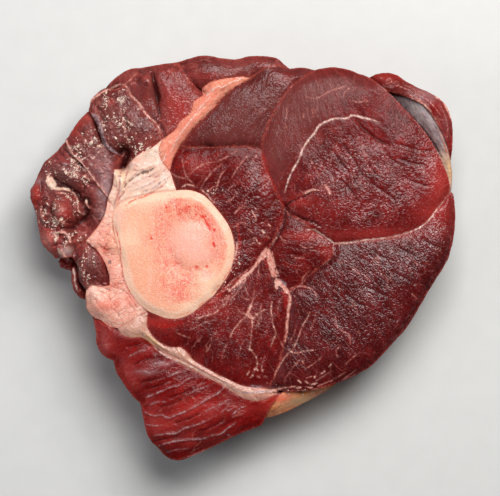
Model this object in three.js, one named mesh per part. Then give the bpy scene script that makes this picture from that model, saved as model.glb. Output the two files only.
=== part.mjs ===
// Bone-in beef round: one thick slice sawn across a hind leg, lying with its cut face up.
// Millimetres, +Z up. Seen from above, +X is to the right and +Y is towards the top strip.
//
// Every muscle, seam of fat and piece of bone runs through the slice from face to face.
// The cut face is drawn once, as seams that meet at named corners. A piece is the prism
// over the loop of seams round it, with its own height and crown on the cut face.
// One smooth squeeze then gives the whole slice its rounded side, so pieces stay apart.
import * as THREE from 'three';

// Driving dimensions
const CUT_HEIGHT = 57;        // underside to the sawn face of the bone
const WIDEST_HEIGHT = 46;     // height at which the side bulges most
const SIDE_TAPER = 0.05;      // share of the width lost at the underside
const TUCK_HEIGHT = 5;        // the lowest part of the side, which curls under
const TUCK_TAPER = 0.02;      // further share of the width lost by curling under
const GAP = 0.3;              // clear space between neighbouring pieces
const RIM_STEP = 7.5;         // longest straight edge along a seam
const FACE_STEP = 9;          // spacing of the points inside a cut face
const SEAM_ROUND = 3;         // width of the rounded shoulder along a seam
const SEAM_DROP = 1.2;        // how far that shoulder falls
const EDGE_ROUND = 8;         // width of the rounded shoulder round the outside
const EDGE_DROP = 3.5;        // how far that shoulder falls
const SWELL_HEIGHT = 0.6;     // slow unevenness of the cut face
const SWELL_LENGTH = 46;      // distance from one swell to the next
const SWELL_LEAN = 0.02;      // how far the swells lean off the square, in turns per mm
const CLEFT_DEPTH = 2;        // how deep the side dips in where two pieces meet
const CLEFT_REACH = 16;       // half the width of that dip
const CLEFT_SHARES = [0.2, 0.4, 0.6, 1, 0.9, 0.1];  // that depth at each side level and at the top
const SHARPEST_MITRE = 0.2;   // limit on how far a pointed corner moves when it is inset
const SIDE_LEVELS = [0, 2, 5, 18, 34];  // heights of the rows of points down the side
const FLAT = 1e-9;            // what still counts as nothing when circles are compared
const MARROW_CENTRE = [-31, 8];
const MARROW_RADII = [14.5, 16];
const MARROW_SIDES = 18;

// Corners of the cut face on the outside of the slice
const stripEnd = [30, 121];
const stripStart = [-42, 125];
const saddleCorner = [-88, 108];
const flankCorner = [-98, 94];
const fringeTop = [-113, 75];
const fringeFoot = [-120, 0];
const slabFoot = [-110, -9];
const ribbonFoot = [-100, -27];
const gristleFoot = [-96, -37];
const heelTip = [14, -103];
const edgeFatEnd = [64, -78];
const lipFoot = [134, 41];
const flapFoot = [133, 62];
const flapStart = [80, 115];
const lobeStart = [47, 120];

// Corners inside the cut face
const fatTip = [6, 115];
const fatTop = [-26, 107];
const fatFork = [-51, 75];
const fatFoot = [-46, 55];
const crownFoot = [-40, 70];
const crownCorner = [12, 69];
const lobeCorner = [26, 32];
const lobeFoot = [57, 9];
const lobeHeel = [131, 43];
const skinTop = [91, 106];
const forkPoint = [16, 6];
const wedgeFoot = [29, -21];
const seamCorner = [16, -82];
const seamEnd = [26, -84];
const seamStart = [-79, -44];
const boneFoot = [-60, -33];
const boneHeel = [-18, -23];
const boneTop = [-42, 43];
const boneShoulder = [-81, 31];
const hollowFoot = [-75, 57];
const fringeCorner = [-85, 38];
const stubTop = [-99, 11];
const stubCorner = [-108, 1];
const stubFoot = [-99, -20];

// The outside of the slice, from corner to corner, the meat on the left of the way
const outside = {
  strip: seam(
    stripEnd, [21, 127], [14, 128], [4, 128], [-5, 126], [-15, 127], [-24, 128.5], [-33, 127], stripStart,
  ),
  top: seam(stripStart, [-62, 121], [-71, 120], [-80, 115], saddleCorner),
  saddle: seam(saddleCorner, [-94, 103], [-97, 99], flankCorner),
  flank: seam(flankCorner, [-103, 88], [-110, 79], fringeTop),
  fringe: seam(
    fringeTop, [-120, 66], [-125, 62], [-130, 52], [-134, 43], [-134, 36], [-131, 30],
    [-130, 24], [-127, 9], [-122, 3], fringeFoot,
  ),
  slab: seam(fringeFoot, [-121, -2], [-119, -6], [-115, -8], slabFoot),
  ribbon: seam(slabFoot, [-108, -19], [-104, -25], ribbonFoot),
  gristle: seam(ribbonFoot, [-99, -32], gristleFoot),
  heel: seam(
    gristleFoot, [-93, -47], [-93, -53], [-88, -62], [-82, -65], [-80, -72], [-69, -88], [-65, -92],
    [-63, -101], [-60, -113], [-54, -120], [-48, -126], [-41, -128], [-36, -127], [1, -110],
    [12, -106], heelTip,
  ),
  edgeFat: seam(heelTip, [25, -99], [41, -91], [52, -85], edgeFatEnd),
  outer: seam(
    edgeFatEnd, [80, -69], [93, -56], [105, -42], [118, -20], [130, 0], [134, 18], [134.5, 29], lipFoot,
  ),
  lip: seam(lipFoot, flapFoot),
  flap: seam(
    flapFoot, [133, 78], [132, 88], [128, 98], [120, 104], [109, 109], [102, 113], [98, 116],
    [92, 117.5], [85, 117], flapStart,
  ),
  lobe: seam(flapStart, [74, 117], [64, 120], [55, 121], lobeStart),
  crown: seam(lobeStart, [38, 121], stripEnd),
};

// Seams between the pieces, named for the two pieces that they part
const between = {
  stripAndTop: seam(stripStart, [-36, 116], [-31, 110], fatTop),
  stripAndFat: seam(fatTop, [-21, 111], [-14, 113], [2, 115], fatTip),
  stripAndCrown: seam(fatTip, [14, 120], [23, 122], stripEnd),
  topAndSaddle: seam(saddleCorner, [-82, 107], [-73, 109], [-71, 104], [-59, 90], [-54, 82], fatFork),
  topAndFat: seam(fatFork, [-42, 82], [-40, 86], [-33, 92], [-31, 99], [-25, 103], fatTop),
  saddleAndFlank: seam(flankCorner, [-93, 86], [-90, 76], [-83, 67], [-78, 63], hollowFoot),
  saddleAndCapsule: seam(hollowFoot, [-71, 61], [-65, 66], [-57, 70], fatFork),
  flankAndCapsule: seam(hollowFoot, [-81, 56], [-82, 46], fringeCorner),
  flankAndFringe: seam(fringeTop, [-107, 65], [-101, 59], [-93, 48], fringeCorner),
  fatAndCrown: seam(fatTip, [4, 113], [-5, 108], [-13, 101], [-18, 95], [-33, 80], crownFoot),
  fatAndShank: seam(crownFoot, [-44, 63], fatFoot),
  fatAndCapsule: seam(fatFork, [-53, 68], [-51, 61], fatFoot),
  capsuleAndShank: seam(fatFoot, boneTop),
  capsuleAndGristle: seam(fringeCorner, boneShoulder),
  crownAndShank: seam(crownCorner, [3, 71], [-8, 71], crownFoot),
  crownAndLobe: seam(lobeStart, [36, 113], [29, 107], [24, 99], [18, 89], [14, 79], crownCorner),
  lobeAndShank: seam(crownCorner, [13, 62], [19, 47], lobeCorner),
  lobeAndWedge: seam(lobeCorner, [30, 28], [39, 23], [43, 18], [50, 14], lobeFoot),
  lobeAndOuter: seam(lobeFoot, [67, 10], [93, 13], [106, 17], [116, 23], [122, 31], [128, 37], lobeHeel),
  lobeAndSkin: seam(lobeHeel, [130, 50], [123, 67], [111, 85], [96, 101], skinTop),
  lobeAndFlap: seam(skinTop, flapStart),
  skinAndFlap: seam(flapFoot, [127, 78], [121, 88], [114, 97], [104, 102], skinTop),
  skinAndOuter: seam(lobeHeel, lipFoot),
  shankAndWedge: seam(lobeCorner, [25, 25], [21, 16], forkPoint),
  shankAndHeart: seam(forkPoint, [4, -8], [-4, -15], boneHeel),
  wedgeAndHeart: seam(forkPoint, [19, -3], [21, -11], wedgeFoot),
  wedgeAndOuter: seam(lobeFoot, [55, 1], [50, -4], [42, -10], [37, -16], wedgeFoot),
  heartAndOuter: seam(wedgeFoot, [29, -33], [27, -48], [21, -72], seamCorner),
  heartAndSeam: seam(
    boneFoot, [-60, -44], [-54, -52], [-47, -56], [-39, -56], [-30, -65], [-10, -76], [0, -80.5],
    seamCorner,
  ),
  outerAndSeam: seam(seamCorner, seamEnd),
  outerAndEdgeFat: seam(seamEnd, [44, -83], edgeFatEnd),
  heelAndEdgeFat: seam(seamEnd, [21, -89], [17, -95], heelTip),
  heelAndSeam: seam(
    seamStart, [-77, -48], [-71, -50], [-64, -50], [-55, -56], [-37, -68], [-15, -79], [0, -88],
    [7, -90], [14, -89], seamEnd,
  ),
  gristleAndHeel: seam(gristleFoot, [-90, -39], [-84, -43], seamStart),
  gristleAndSeam: seam(seamStart, [-71, -39], boneFoot),
  gristleAndFringe: seam(fringeCorner, [-87, 28], [-93, 18], stubTop),
  gristleAndStub: seam(stubTop, [-91, 4], [-86, -5], [-84, -17], [-90, -18], [-95, -17], stubFoot),
  gristleAndRibbon: seam(stubFoot, ribbonFoot),
  fringeAndStub: seam(stubTop, [-105, 7], stubCorner),
  fringeAndSlab: seam(fringeFoot, stubCorner),
  slabAndRibbon: seam(stubCorner, [-107, -4], slabFoot),
  stubAndRibbon: seam(stubCorner, [-104, -6], [-104, -13], stubFoot),
};

// The bone's own outline, from where each neighbour starts
const boneSide = {
  capsule: seam(boneTop, [-52, 42], [-68, 39], [-76, 36], boneShoulder),
  gristle: seam(boneShoulder, [-82, 24], [-77, -1], [-73, -18], [-67, -27], boneFoot),
  heart: seam(boneFoot, [-49, -37.5], [-41, -38], [-33, -35], boneHeel),
  shank: seam(boneHeel, [-9, -10], [-6, -2], [-5, 6], [-8, 19], [-17, 32], [-25, 40], [-33, 43], boneTop),
};

// Folds and slits of the cut face: the line of each, its half width and its depth
const creases = [
  { line: [[-122, 54], [-115, 47], [-106, 42], [-96, 38]], reach: 6, depth: 11 },
  { line: [[-124, 70], [-116, 64], [-106, 62]], reach: 4, depth: 5 },
  { line: [[-106, 38], [-102, 30], [-99, 20]], reach: 7, depth: 9 },
  { line: [[-131, 38], [-124, 30], [-122, 18], [-125, 8]], reach: 4, depth: 6 },
  { line: [[-118, 18], [-110, 12], [-104, 12]], reach: 4, depth: 5 },
  { line: [[-76, 68], [-76, 62], [-75, 57]], reach: 5, depth: 12 },
  { line: [[-57, 117], [-56, 104], [-53, 88]], reach: 4, depth: 3 },
  { line: [[-90, 94], [-87, 88]], reach: 4, depth: 3 },
  { line: [[-29, 110], [-26, 106]], reach: 4, depth: 6 },
  { line: [[26, 42], [30, 61], [40, 76], [54, 87], [66, 89], [86, 86]], reach: 3, depth: 1 },
  { line: [[71, 88], [81, 77], [91, 71]], reach: 4, depth: 1.6 },
  { line: [[-86, 18], [-88, 2], [-86, -22], [-80, -31]], reach: 4, depth: 2.5 },
  { line: [[-78, -26], [-70, -31]], reach: 3, depth: 1.5 },
  { line: [[-74, 40], [-62, 45], [-50, 56]], reach: 3, depth: 1.2 },
];

// Lumps that stand up from the cut face: centre, radius and height
const lumps = [
  { centre: [-114, 28], radius: 9, height: 5 },
  { centre: [-132, 39], radius: 6, height: 3 },
  { centre: [-123, 11], radius: 7, height: 4 },
  { centre: [-99, 34], radius: 6, height: 4 },
  { centre: [-121, 60], radius: 7, height: 3 },
  { centre: [-92, -6], radius: 10, height: 3 },
  { centre: [-61, 110], radius: 8, height: 1.5 },
  { centre: [-80, 12], radius: 8, height: 2 },
  { centre: [-78, -14], radius: 9, height: 2.5 },
  { centre: [-92, -30], radius: 8, height: 2 },
];

// A seam through hand-set points, cut into edges no longer than RIM_STEP
function seam(...points) {
  const knots = points.map(([x, y]) => new THREE.Vector3(x, y, 0));
  const curve = new THREE.CatmullRomCurve3(knots, false, 'centripetal');
  const path = [];
  for (let span = 0; span < knots.length - 1; span += 1) {
    const length = knots[span].distanceTo(knots[span + 1]);
    const edges = Math.max(1, Math.round(length / RIM_STEP));
    for (let edge = 0; edge < edges; edge += 1) {
      const at = curve.getPoint((span + edge / edges) / (knots.length - 1));
      path.push(new THREE.Vector2(at.x, at.y));
    }
  }
  const last = knots[knots.length - 1];
  path.push(new THREE.Vector2(last.x, last.y));
  return path;
}

// The same seam walked the other way
function back(path) {
  return [...path].reverse();
}

// One closed counter-clockwise outline from seams that follow each other
function loop(...paths) {
  const outline = paths.flatMap((path) => path.slice(0, -1));
  return THREE.ShapeUtils.isClockWise(outline) ? outline.reverse() : outline;
}

function oval([x, y], [alongX, alongY], sides) {
  const points = [];
  for (let side = 0; side < sides; side += 1) {
    const turn = (side / sides) * 2 * Math.PI;
    points.push(new THREE.Vector2(x + alongX * Math.cos(turn), y + alongY * Math.sin(turn)));
  }
  return points;
}

// Moves every point of a counter-clockwise outline inwards by the same distance
function inset(outline, distance) {
  return outline.map((point, index) => {
    const before = outline[(index + outline.length - 1) % outline.length];
    const after = outline[(index + 1) % outline.length];
    const inA = leftOf(before, point);
    const inB = leftOf(point, after);
    const middle = inA.clone().add(inB).normalize();
    return point.clone().addScaledVector(middle, distance / Math.max(SHARPEST_MITRE, middle.dot(inA)));
  });
}

// Unit vector to the left of the way from one point to the next
function leftOf(from, to) {
  const way = to.clone().sub(from).normalize();
  return new THREE.Vector2(-way.y, way.x);
}

function distanceToEdge(point, from, to) {
  const way = to.clone().sub(from);
  const along = THREE.MathUtils.clamp(point.clone().sub(from).dot(way) / way.lengthSq(), 0, 1);
  return point.distanceTo(from.clone().addScaledVector(way, along));
}

function distanceToPath(point, path, closed) {
  let nearest = Infinity;
  const edges = closed ? path.length : path.length - 1;
  for (let index = 0; index < edges; index += 1) {
    nearest = Math.min(nearest, distanceToEdge(point, path[index], path[(index + 1) % path.length]));
  }
  return nearest;
}

function isInside(point, outline) {
  let inside = false;
  for (let index = 0; index < outline.length; index += 1) {
    const a = outline[index];
    const b = outline[(index + 1) % outline.length];
    const crosses = (a.y > point.y) !== (b.y > point.y);
    if (crosses && point.x < a.x + ((point.y - a.y) / (b.y - a.y)) * (b.x - a.x)) {
      inside = !inside;
    }
  }
  return inside;
}

// 1 on the line, 0 from the reach outwards, with a round start
function fall(distance, reach) {
  return (1 - Math.min(1, distance / reach)) ** 2;
}

const outsideOutline = loop(...Object.values(outside));
const outsideCorners = Object.values(outside).map((path) => path[0]);
const creasePaths = creases.map(({ line }) => line.map(([x, y]) => new THREE.Vector2(x, y)));

// Relief that all pieces share: slow swells, folds, lumps and the rounded outer edge
function sharedRelief(point) {
  const turn = (2 * Math.PI) / SWELL_LENGTH;
  let height = SWELL_HEIGHT * Math.sin(point.x * turn) * Math.cos(point.y * turn + point.x * SWELL_LEAN);
  height -= EDGE_DROP * fall(distanceToPath(point, outsideOutline, true), EDGE_ROUND);
  creases.forEach(({ reach, depth }, index) => {
    height -= depth * fall(distanceToPath(point, creasePaths[index], false), reach);
  });
  lumps.forEach(({ centre, radius, height: rise }) => {
    const away = point.distanceTo(new THREE.Vector2(...centre)) / radius;
    height += rise * Math.max(0, 1 - away * away);
  });
  return height;
}

// Share of the full width that the slice has at a height
function widthAt(height) {
  const away = (height - WIDEST_HEIGHT) / WIDEST_HEIGHT;
  return 1 - SIDE_TAPER * away * away - TUCK_TAPER * fall(height, TUCK_HEIGHT);
}

// How far the side dips in at a point: most at half height, where two pieces meet outside
function cleftAt(point, height) {
  const corner = Math.min(...outsideCorners.map((other) => other.distanceTo(point)));
  const levels = [...SIDE_LEVELS, CUT_HEIGHT];
  const above = Math.max(1, levels.findIndex((level) => level >= Math.min(height, CUT_HEIGHT)));
  const along = (height - levels[above - 1]) / (levels[above] - levels[above - 1]);
  const share = THREE.MathUtils.lerp(CLEFT_SHARES[above - 1], CLEFT_SHARES[above], along);
  return CLEFT_DEPTH * Math.max(0, share) * fall(corner, CLEFT_REACH);
}

// The place in space of a point of the cut face, carried down to a height. The dip is taken
// where the seam itself runs, so both sides of a seam move by the same amount.
function squeezed(point, onSeam, height) {
  const dip = onSeam.clone().normalize().multiplyScalar(cleftAt(onSeam, height));
  const place = point.clone().multiplyScalar(widthAt(height)).sub(dip);
  return [place.x, place.y, height];
}

// Points inside an outline: a row along the shoulder, then an even triangular grid
function innerPoints(outline, holes, step) {
  const kept = [];
  const tryPoint = (point, margin, apart) => {
    const rims = [outline, ...holes];
    const clear = rims.every((rim) => distanceToPath(point, rim, true) > margin);
    const open = isInside(point, outline) && !holes.some((hole) => isInside(point, hole));
    if (clear && open && kept.every((other) => other.distanceTo(point) > apart)) {
      kept.push(point);
    }
  };
  inset(outline, SEAM_ROUND * 0.8).forEach((point) => tryPoint(point, SEAM_ROUND * 0.6, SEAM_ROUND));
  const box = new THREE.Box2().setFromPoints(outline);
  const rowStep = step * Math.sqrt(0.75);
  let shifted = false;
  for (let y = box.min.y + rowStep / 2; y < box.max.y; y += rowStep) {
    for (let x = box.min.x + (shifted ? step / 2 : 0); x < box.max.x; x += step) {
      tryPoint(new THREE.Vector2(x, y), step * 0.4, step * 0.6);
    }
    shifted = !shifted;
  }
  return kept;
}

function turnOf(a, b, c) {
  return (b.x - a.x) * (c.y - a.y) - (b.y - a.y) * (c.x - a.x);
}

// True if point d lies in the circle through the counter-clockwise triangle a, b, c
function inCircle(a, b, c, d) {
  const rows = [a, b, c].map((p) => [p.x - d.x, p.y - d.y, p.distanceToSquared(d)]);
  const [[ax, ay, aa], [bx, by, bb], [cx, cy, cc]] = rows;
  return ax * (by * cc - bb * cy) - ay * (bx * cc - bb * cx) + aa * (bx * cy - by * cx) > FLAT;
}

// Swaps the diagonals of neighbouring triangles until all are as even as they can be
function evenOut(points, triangles) {
  let swapped = true;
  while (swapped) {
    swapped = false;
    const owner = new Map();
    triangles.forEach((triangle, index) => {
      triangle.forEach((corner, side) => owner.set(`${corner},${triangle[(side + 1) % 3]}`, index));
    });
    const touched = new Set();
    for (let index = 0; index < triangles.length; index += 1) {
      for (let side = 0; side < 3 && !touched.has(index); side += 1) {
        const [a, b, c] = [0, 1, 2].map((step) => triangles[index][(side + step) % 3]);
        const other = owner.get(`${b},${a}`);
        if (other !== undefined && !touched.has(other)) {
          const d = triangles[other].find((corner) => corner !== a && corner !== b);
          const [pa, pb, pc, pd] = [a, b, c, d].map((corner) => points[corner]);
          const convex = turnOf(pa, pd, pc) > 0 && turnOf(pd, pb, pc) > 0;
          if (convex && inCircle(pa, pb, pc, pd)) {
            triangles[index] = [a, d, c];
            triangles[other] = [d, b, c];
            touched.add(index).add(other);
            swapped = true;
          }
        }
      }
    }
  }
}

// Triangles over an outline with holes, using extra points inside it
function fillOutline(outline, holes, extra) {
  const points = [...outline, ...holes.flat(), ...extra];
  const triangles = THREE.ShapeUtils.triangulateShape(outline, holes).map((triangle) => {
    const [a, b, c] = triangle.map((corner) => points[corner]);
    return turnOf(a, b, c) > 0 ? triangle : [triangle[0], triangle[2], triangle[1]];
  });
  const firstExtra = points.length - extra.length;
  extra.forEach((point, index) => {
    const found = triangles.findIndex((triangle) => triangle.every(
      (corner, side) => turnOf(points[corner], points[triangle[(side + 1) % 3]], point) >= 0,
    ));
    const [a, b, c] = triangles[found];
    const added = firstExtra + index;
    triangles[found] = [a, b, added];
    triangles.push([b, c, added], [c, a, added]);
  });
  evenOut(points, triangles);
  return triangles;
}

// Two triangles of the side between two rim points and the same two one row up. Neighbours
// pass the same seam in opposite directions, so the diagonal follows the seam, not the way.
function sideFaces(from, to, rowLength, leansRight) {
  const [fromAbove, toAbove] = [from + rowLength, to + rowLength];
  return leansRight
    ? [[from, to, toAbove], [from, toAbove, fromAbove]]
    : [[from, to, fromAbove], [to, toAbove, fromAbove]];
}

// The closed solid over one outline, from the underside to its own cut face
function pieceGeometry(piece) {
  const outline = inset(piece.outline, GAP / 2);
  const holes = (piece.holes ?? []).map((hole) => inset(hole, -GAP / 2));
  const rims = [outline, ...holes];
  const extra = innerPoints(outline, holes, piece.step ?? FACE_STEP);
  const facePoints = [...rims.flat(), ...extra];
  const rimCount = facePoints.length - extra.length;
  const heights = facePoints.map((point, index) => {
    const depth = index < rimCount ? 0 : Math.min(...rims.map((rim) => distanceToPath(point, rim, true)));
    const crown = piece.crown * (1 - fall(depth, piece.crownReach ?? 18));
    const own = typeof piece.level === 'function' ? piece.level(point) : piece.level;
    return own + crown - SEAM_DROP * fall(depth, SEAM_ROUND) + sharedRelief(point) * (piece.relief ?? 1);
  });
  const levels = SIDE_LEVELS.filter((level) => level < Math.min(...heights.slice(0, rimCount)) - 3);
  const onSeams = [piece.outline, ...(piece.holes ?? []), extra].flat();
  const rimPoints = facePoints.slice(0, rimCount);
  const sidePlaces = levels.flatMap(
    (level) => rimPoints.map((point, index) => squeezed(point, onSeams[index], level)),
  );
  const facePlaces = facePoints.map((point, index) => squeezed(point, onSeams[index], heights[index]));
  const top = sidePlaces.length;

  const faces = [];
  fillOutline(outline, holes, extra).forEach(([a, b, c]) => faces.push([top + a, top + b, top + c]));
  fillOutline(outline, holes, []).forEach(([a, b, c]) => faces.push([a, c, b]));
  levels.forEach((_, level) => {
    let start = level * rimCount;
    rims.forEach((rim, rimIndex) => {
      for (let index = 0; index < rim.length; index += 1) {
        const here = start + index;
        const next = start + ((index + 1) % rim.length);
        const [from, to] = rimIndex === 0 ? [here, next] : [next, here];
        faces.push(...sideFaces(from, to, rimCount, onSeams[from % rimCount].x < onSeams[to % rimCount].x));
      }
      start += rim.length;
    });
  });

  const geometry = new THREE.BufferGeometry();
  const places = [...sidePlaces, ...facePlaces].flat();
  geometry.setAttribute('position', new THREE.Float32BufferAttribute(places, 3));
  geometry.setIndex(faces.flat());
  return geometry;
}

// Finishes, one function for each kind of tissue
function lean(color) {
  return new THREE.MeshStandardMaterial({ color, roughness: 0.35, metalness: 0 });
}

function fat(color) {
  return new THREE.MeshStandardMaterial({ color, roughness: 0.42, metalness: 0 });
}

function sinew(color) {
  return new THREE.MeshStandardMaterial({ color, roughness: 0.3, metalness: 0 });
}

function bone(color) {
  return new THREE.MeshStandardMaterial({ color, roughness: 0.55, metalness: 0 });
}

const round = new THREE.Group();

function addPiece(name, material, piece) {
  const mesh = new THREE.Mesh(pieceGeometry(piece), material);
  mesh.name = name;
  round.add(mesh);
}

// Bone with its marrow
const marrowOutline = oval(MARROW_CENTRE, MARROW_RADII, MARROW_SIDES);

addPiece('femur', bone('#f2c79c'), {
  outline: loop(boneSide.capsule, boneSide.gristle, boneSide.heart, boneSide.shank),
  holes: [marrowOutline],
  level: CUT_HEIGHT,
  crown: 0.8,
  relief: 0.2,
  step: 11,
});

addPiece('marrow', fat('#f4b4a4'), {
  outline: marrowOutline,
  level: CUT_HEIGHT,
  crown: 0.8,
  relief: 0.2,
});

// Joint capsule and gristle round the bone
addPiece('joint_capsule', sinew('#eec6a4'), {
  outline: loop(
    between.fatAndCapsule, between.capsuleAndShank, boneSide.capsule,
    back(between.capsuleAndGristle), back(between.flankAndCapsule), between.saddleAndCapsule,
  ),
  level: 55,
  crown: 1.5,
  step: 7,
});

addPiece('gristle', sinew('#eeb692'), {
  outline: loop(
    between.capsuleAndGristle, boneSide.gristle, back(between.gristleAndSeam),
    back(between.gristleAndHeel), back(outside.gristle), back(between.gristleAndRibbon),
    back(between.gristleAndStub), back(between.gristleAndFringe),
  ),
  level: 54,
  crown: 2,
  step: 7,
});

// Seams of fat and sinew
addPiece('upper_fat_seam', fat('#ee9a78'), {
  outline: loop(
    between.fatAndShank, back(between.fatAndCapsule), between.topAndFat, between.stripAndFat,
    between.fatAndCrown,
  ),
  level: 55,
  crown: 2.5,
  crownReach: 8,
  step: 7,
});

addPiece('lower_sinew_seam', sinew('#dca084'), {
  outline: loop(
    between.gristleAndSeam, between.heartAndSeam, between.outerAndSeam, back(between.heelAndSeam),
  ),
  level: 55,
  crown: 1.5,
  crownReach: 8,
  step: 7,
});

addPiece('edge_fat', fat('#e59a62'), {
  outline: loop(between.heelAndEdgeFat, outside.edgeFat, back(between.outerAndEdgeFat)),
  level: (point) => 46 + 7 * (1 - fall(distanceToPath(point, outside.edgeFat, false), 14)),
  crown: 2,
  step: 7,
});

// The large round muscle with the flap and the silver skin beside it
addPiece('round_lobe', lean('#7a332f'), {
  outline: loop(
    outside.lobe, between.crownAndLobe, between.lobeAndShank, between.lobeAndWedge,
    between.lobeAndOuter, between.lobeAndSkin, between.lobeAndFlap,
  ),
  level: 55.5,
  crown: 3,
  crownReach: 26,
});

addPiece('flap', lean('#8c3a30'), {
  outline: loop(outside.flap, back(between.lobeAndFlap), back(between.skinAndFlap)),
  level: 54,
  crown: 1,
  step: 7,
});

addPiece('silver_skin', sinew('#a08c8e'), {
  outline: loop(outside.lip, between.skinAndFlap, back(between.lobeAndSkin), between.skinAndOuter),
  level: (point) => 52 - 9 * fall(distanceToPath(point, between.lobeAndSkin, false), 14),
  crown: 0,
  step: 6,
});

// The muscles below and left of it
addPiece('outer_muscle', lean('#641f1d'), {
  outline: loop(
    outside.outer, back(between.skinAndOuter), back(between.lobeAndOuter), between.wedgeAndOuter,
    between.heartAndOuter, between.outerAndSeam, between.outerAndEdgeFat,
  ),
  level: 55,
  crown: 2,
  crownReach: 26,
});

addPiece('wedge_muscle', lean('#6e2320'), {
  outline: loop(
    between.shankAndWedge, between.wedgeAndHeart, back(between.wedgeAndOuter), back(between.lobeAndWedge),
  ),
  level: 54.5,
  crown: 1.5,
});

addPiece('heart_muscle', lean('#641a18'), {
  outline: loop(
    back(between.shankAndHeart), between.wedgeAndHeart, between.heartAndOuter,
    back(between.heartAndSeam), boneSide.heart,
  ),
  level: 54.5,
  crown: 1.5,
});

addPiece('shank_muscle', lean('#5a1c1b'), {
  outline: loop(
    back(between.crownAndShank), between.lobeAndShank, between.shankAndWedge, between.shankAndHeart,
    boneSide.shank, back(between.capsuleAndShank), back(between.fatAndShank),
  ),
  level: 53.8,
  crown: 1.5,
});

addPiece('crown_muscle', lean('#5c1f1c'), {
  outline: loop(
    outside.crown, back(between.stripAndCrown), between.fatAndCrown, back(between.crownAndShank),
    back(between.crownAndLobe),
  ),
  level: 54.5,
  crown: 1.5,
});

// The loose muscles along the top and the left
addPiece('top_strip', lean('#7c2724'), {
  outline: loop(outside.strip, between.stripAndTop, between.stripAndFat, between.stripAndCrown),
  level: 54,
  crown: 1.5,
});

addPiece('top_muscle', lean('#752422'), {
  outline: loop(outside.top, between.topAndSaddle, between.topAndFat, back(between.stripAndTop)),
  level: 53.5,
  crown: 2,
});

addPiece('saddle_muscle', lean('#64302e'), {
  outline: loop(
    outside.saddle, between.saddleAndFlank, between.saddleAndCapsule, back(between.topAndSaddle),
  ),
  level: 53.5,
  crown: 2,
});

addPiece('flank_muscle', lean('#642c2c'), {
  outline: loop(
    outside.flank, between.flankAndFringe, back(between.flankAndCapsule), back(between.saddleAndFlank),
  ),
  level: 52,
  crown: 2.5,
});

addPiece('torn_fringe', lean('#5b2e30'), {
  outline: loop(
    outside.fringe, between.fringeAndSlab, back(between.fringeAndStub), back(between.gristleAndFringe),
    back(between.flankAndFringe),
  ),
  level: 50.5,
  crown: 3,
  step: 5,
});

addPiece('under_slab', lean('#86201c'), {
  outline: loop(outside.slab, back(between.slabAndRibbon), back(between.fringeAndSlab)),
  level: 30,
  crown: 1,
  relief: 0.4,
});

addPiece('stub_muscle', lean('#5e2b2b'), {
  outline: loop(
    between.fringeAndStub, between.stubAndRibbon, back(between.gristleAndStub),
  ),
  level: 52.5,
  crown: 2,
  step: 6,
});

addPiece('side_ribbon', sinew('#9c5a50'), {
  outline: loop(
    between.slabAndRibbon, outside.ribbon, back(between.gristleAndRibbon), back(between.stubAndRibbon),
  ),
  level: 48,
  crown: 1,
  step: 6,
});

addPiece('heel_muscle', lean('#8a1c19'), {
  outline: loop(
    outside.heel, back(between.heelAndEdgeFat), back(between.heelAndSeam), back(between.gristleAndHeel),
  ),
  level: 53,
  crown: 2,
  crownReach: 26,
});

// The whole stands on its underside, over the middle of its outline
const box = new THREE.Box3().setFromObject(round);
const middle = box.getCenter(new THREE.Vector3());
round.position.set(-middle.x, -middle.y, -box.min.z);

export default round;
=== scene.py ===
# %% [markdown]
# # A bone-in beef round, dressed for the camera
#
# The object is one thick slice sawn across a hind leg: a femur in the middle, a dozen muscles
# round it, and seams of fat and sinew between them. The CAD frame already has every piece as
# a plain solid. This script builds the fine skin of each piece over its solid, and gives
# every tissue its own procedural finish.
#
# The first step is to load the frame. Nothing here moves or edits it. Each piece made below
# stands for one of its nodes, and takes its outline and its height from that node.

# %% Load the frame
import math

import bmesh
import bpy
import numpy as np
from mathutils import Matrix, Vector
from mathutils.bvhtree import BVHTree
from mathutils.geometry import delaunay_2d_cdt


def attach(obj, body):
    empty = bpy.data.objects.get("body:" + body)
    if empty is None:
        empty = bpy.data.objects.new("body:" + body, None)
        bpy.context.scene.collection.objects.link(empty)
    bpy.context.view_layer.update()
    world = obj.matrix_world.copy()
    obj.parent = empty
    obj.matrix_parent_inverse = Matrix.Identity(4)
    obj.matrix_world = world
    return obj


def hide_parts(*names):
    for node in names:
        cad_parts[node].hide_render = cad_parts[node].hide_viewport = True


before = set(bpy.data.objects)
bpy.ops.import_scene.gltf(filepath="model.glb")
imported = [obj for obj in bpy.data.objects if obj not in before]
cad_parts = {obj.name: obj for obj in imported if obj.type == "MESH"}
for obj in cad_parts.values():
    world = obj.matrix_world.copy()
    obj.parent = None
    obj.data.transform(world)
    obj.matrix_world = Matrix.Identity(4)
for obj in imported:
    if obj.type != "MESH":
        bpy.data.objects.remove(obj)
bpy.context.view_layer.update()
print("nodes in the frame:", len(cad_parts))

# %% [markdown]
# ## Places on the cut face
#
# Marbling, creases and flecks are drawn on the cut face. It is easiest to read such
# places off the photograph, so they are kept in its pixels and turned into millimetres by one
# function. A pixel of the photograph is 0.63 mm on the cut face, and the part's own centre
# lies at pixel (243, 258). A drawn line is written as x,y, x,y and so on. Meat has no straight
# lines, so it becomes a smooth curve through its points.

# %% Pixels to millimetres, and smooth lines
MM = 0.001  # metres in a millimetre
PIXEL = 0.63  # millimetres on the cut face in one pixel of the photograph
PIXEL_CENTRE = (243, 258)  # the pixel over the middle of the part
IMAGE_WIDTH = 500  # pixels of the photograph
LINE_PARTS = 4  # straight parts between two points of a drawn line


def on_face(pixels):
    """Places of the photograph, in pixels, as millimetres on the cut face."""
    across, down = np.array(pixels, float).reshape(-1, 2).T
    return np.stack([(across - PIXEL_CENTRE[0]) * PIXEL, (PIXEL_CENTRE[1] - down) * PIXEL], 1)


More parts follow.
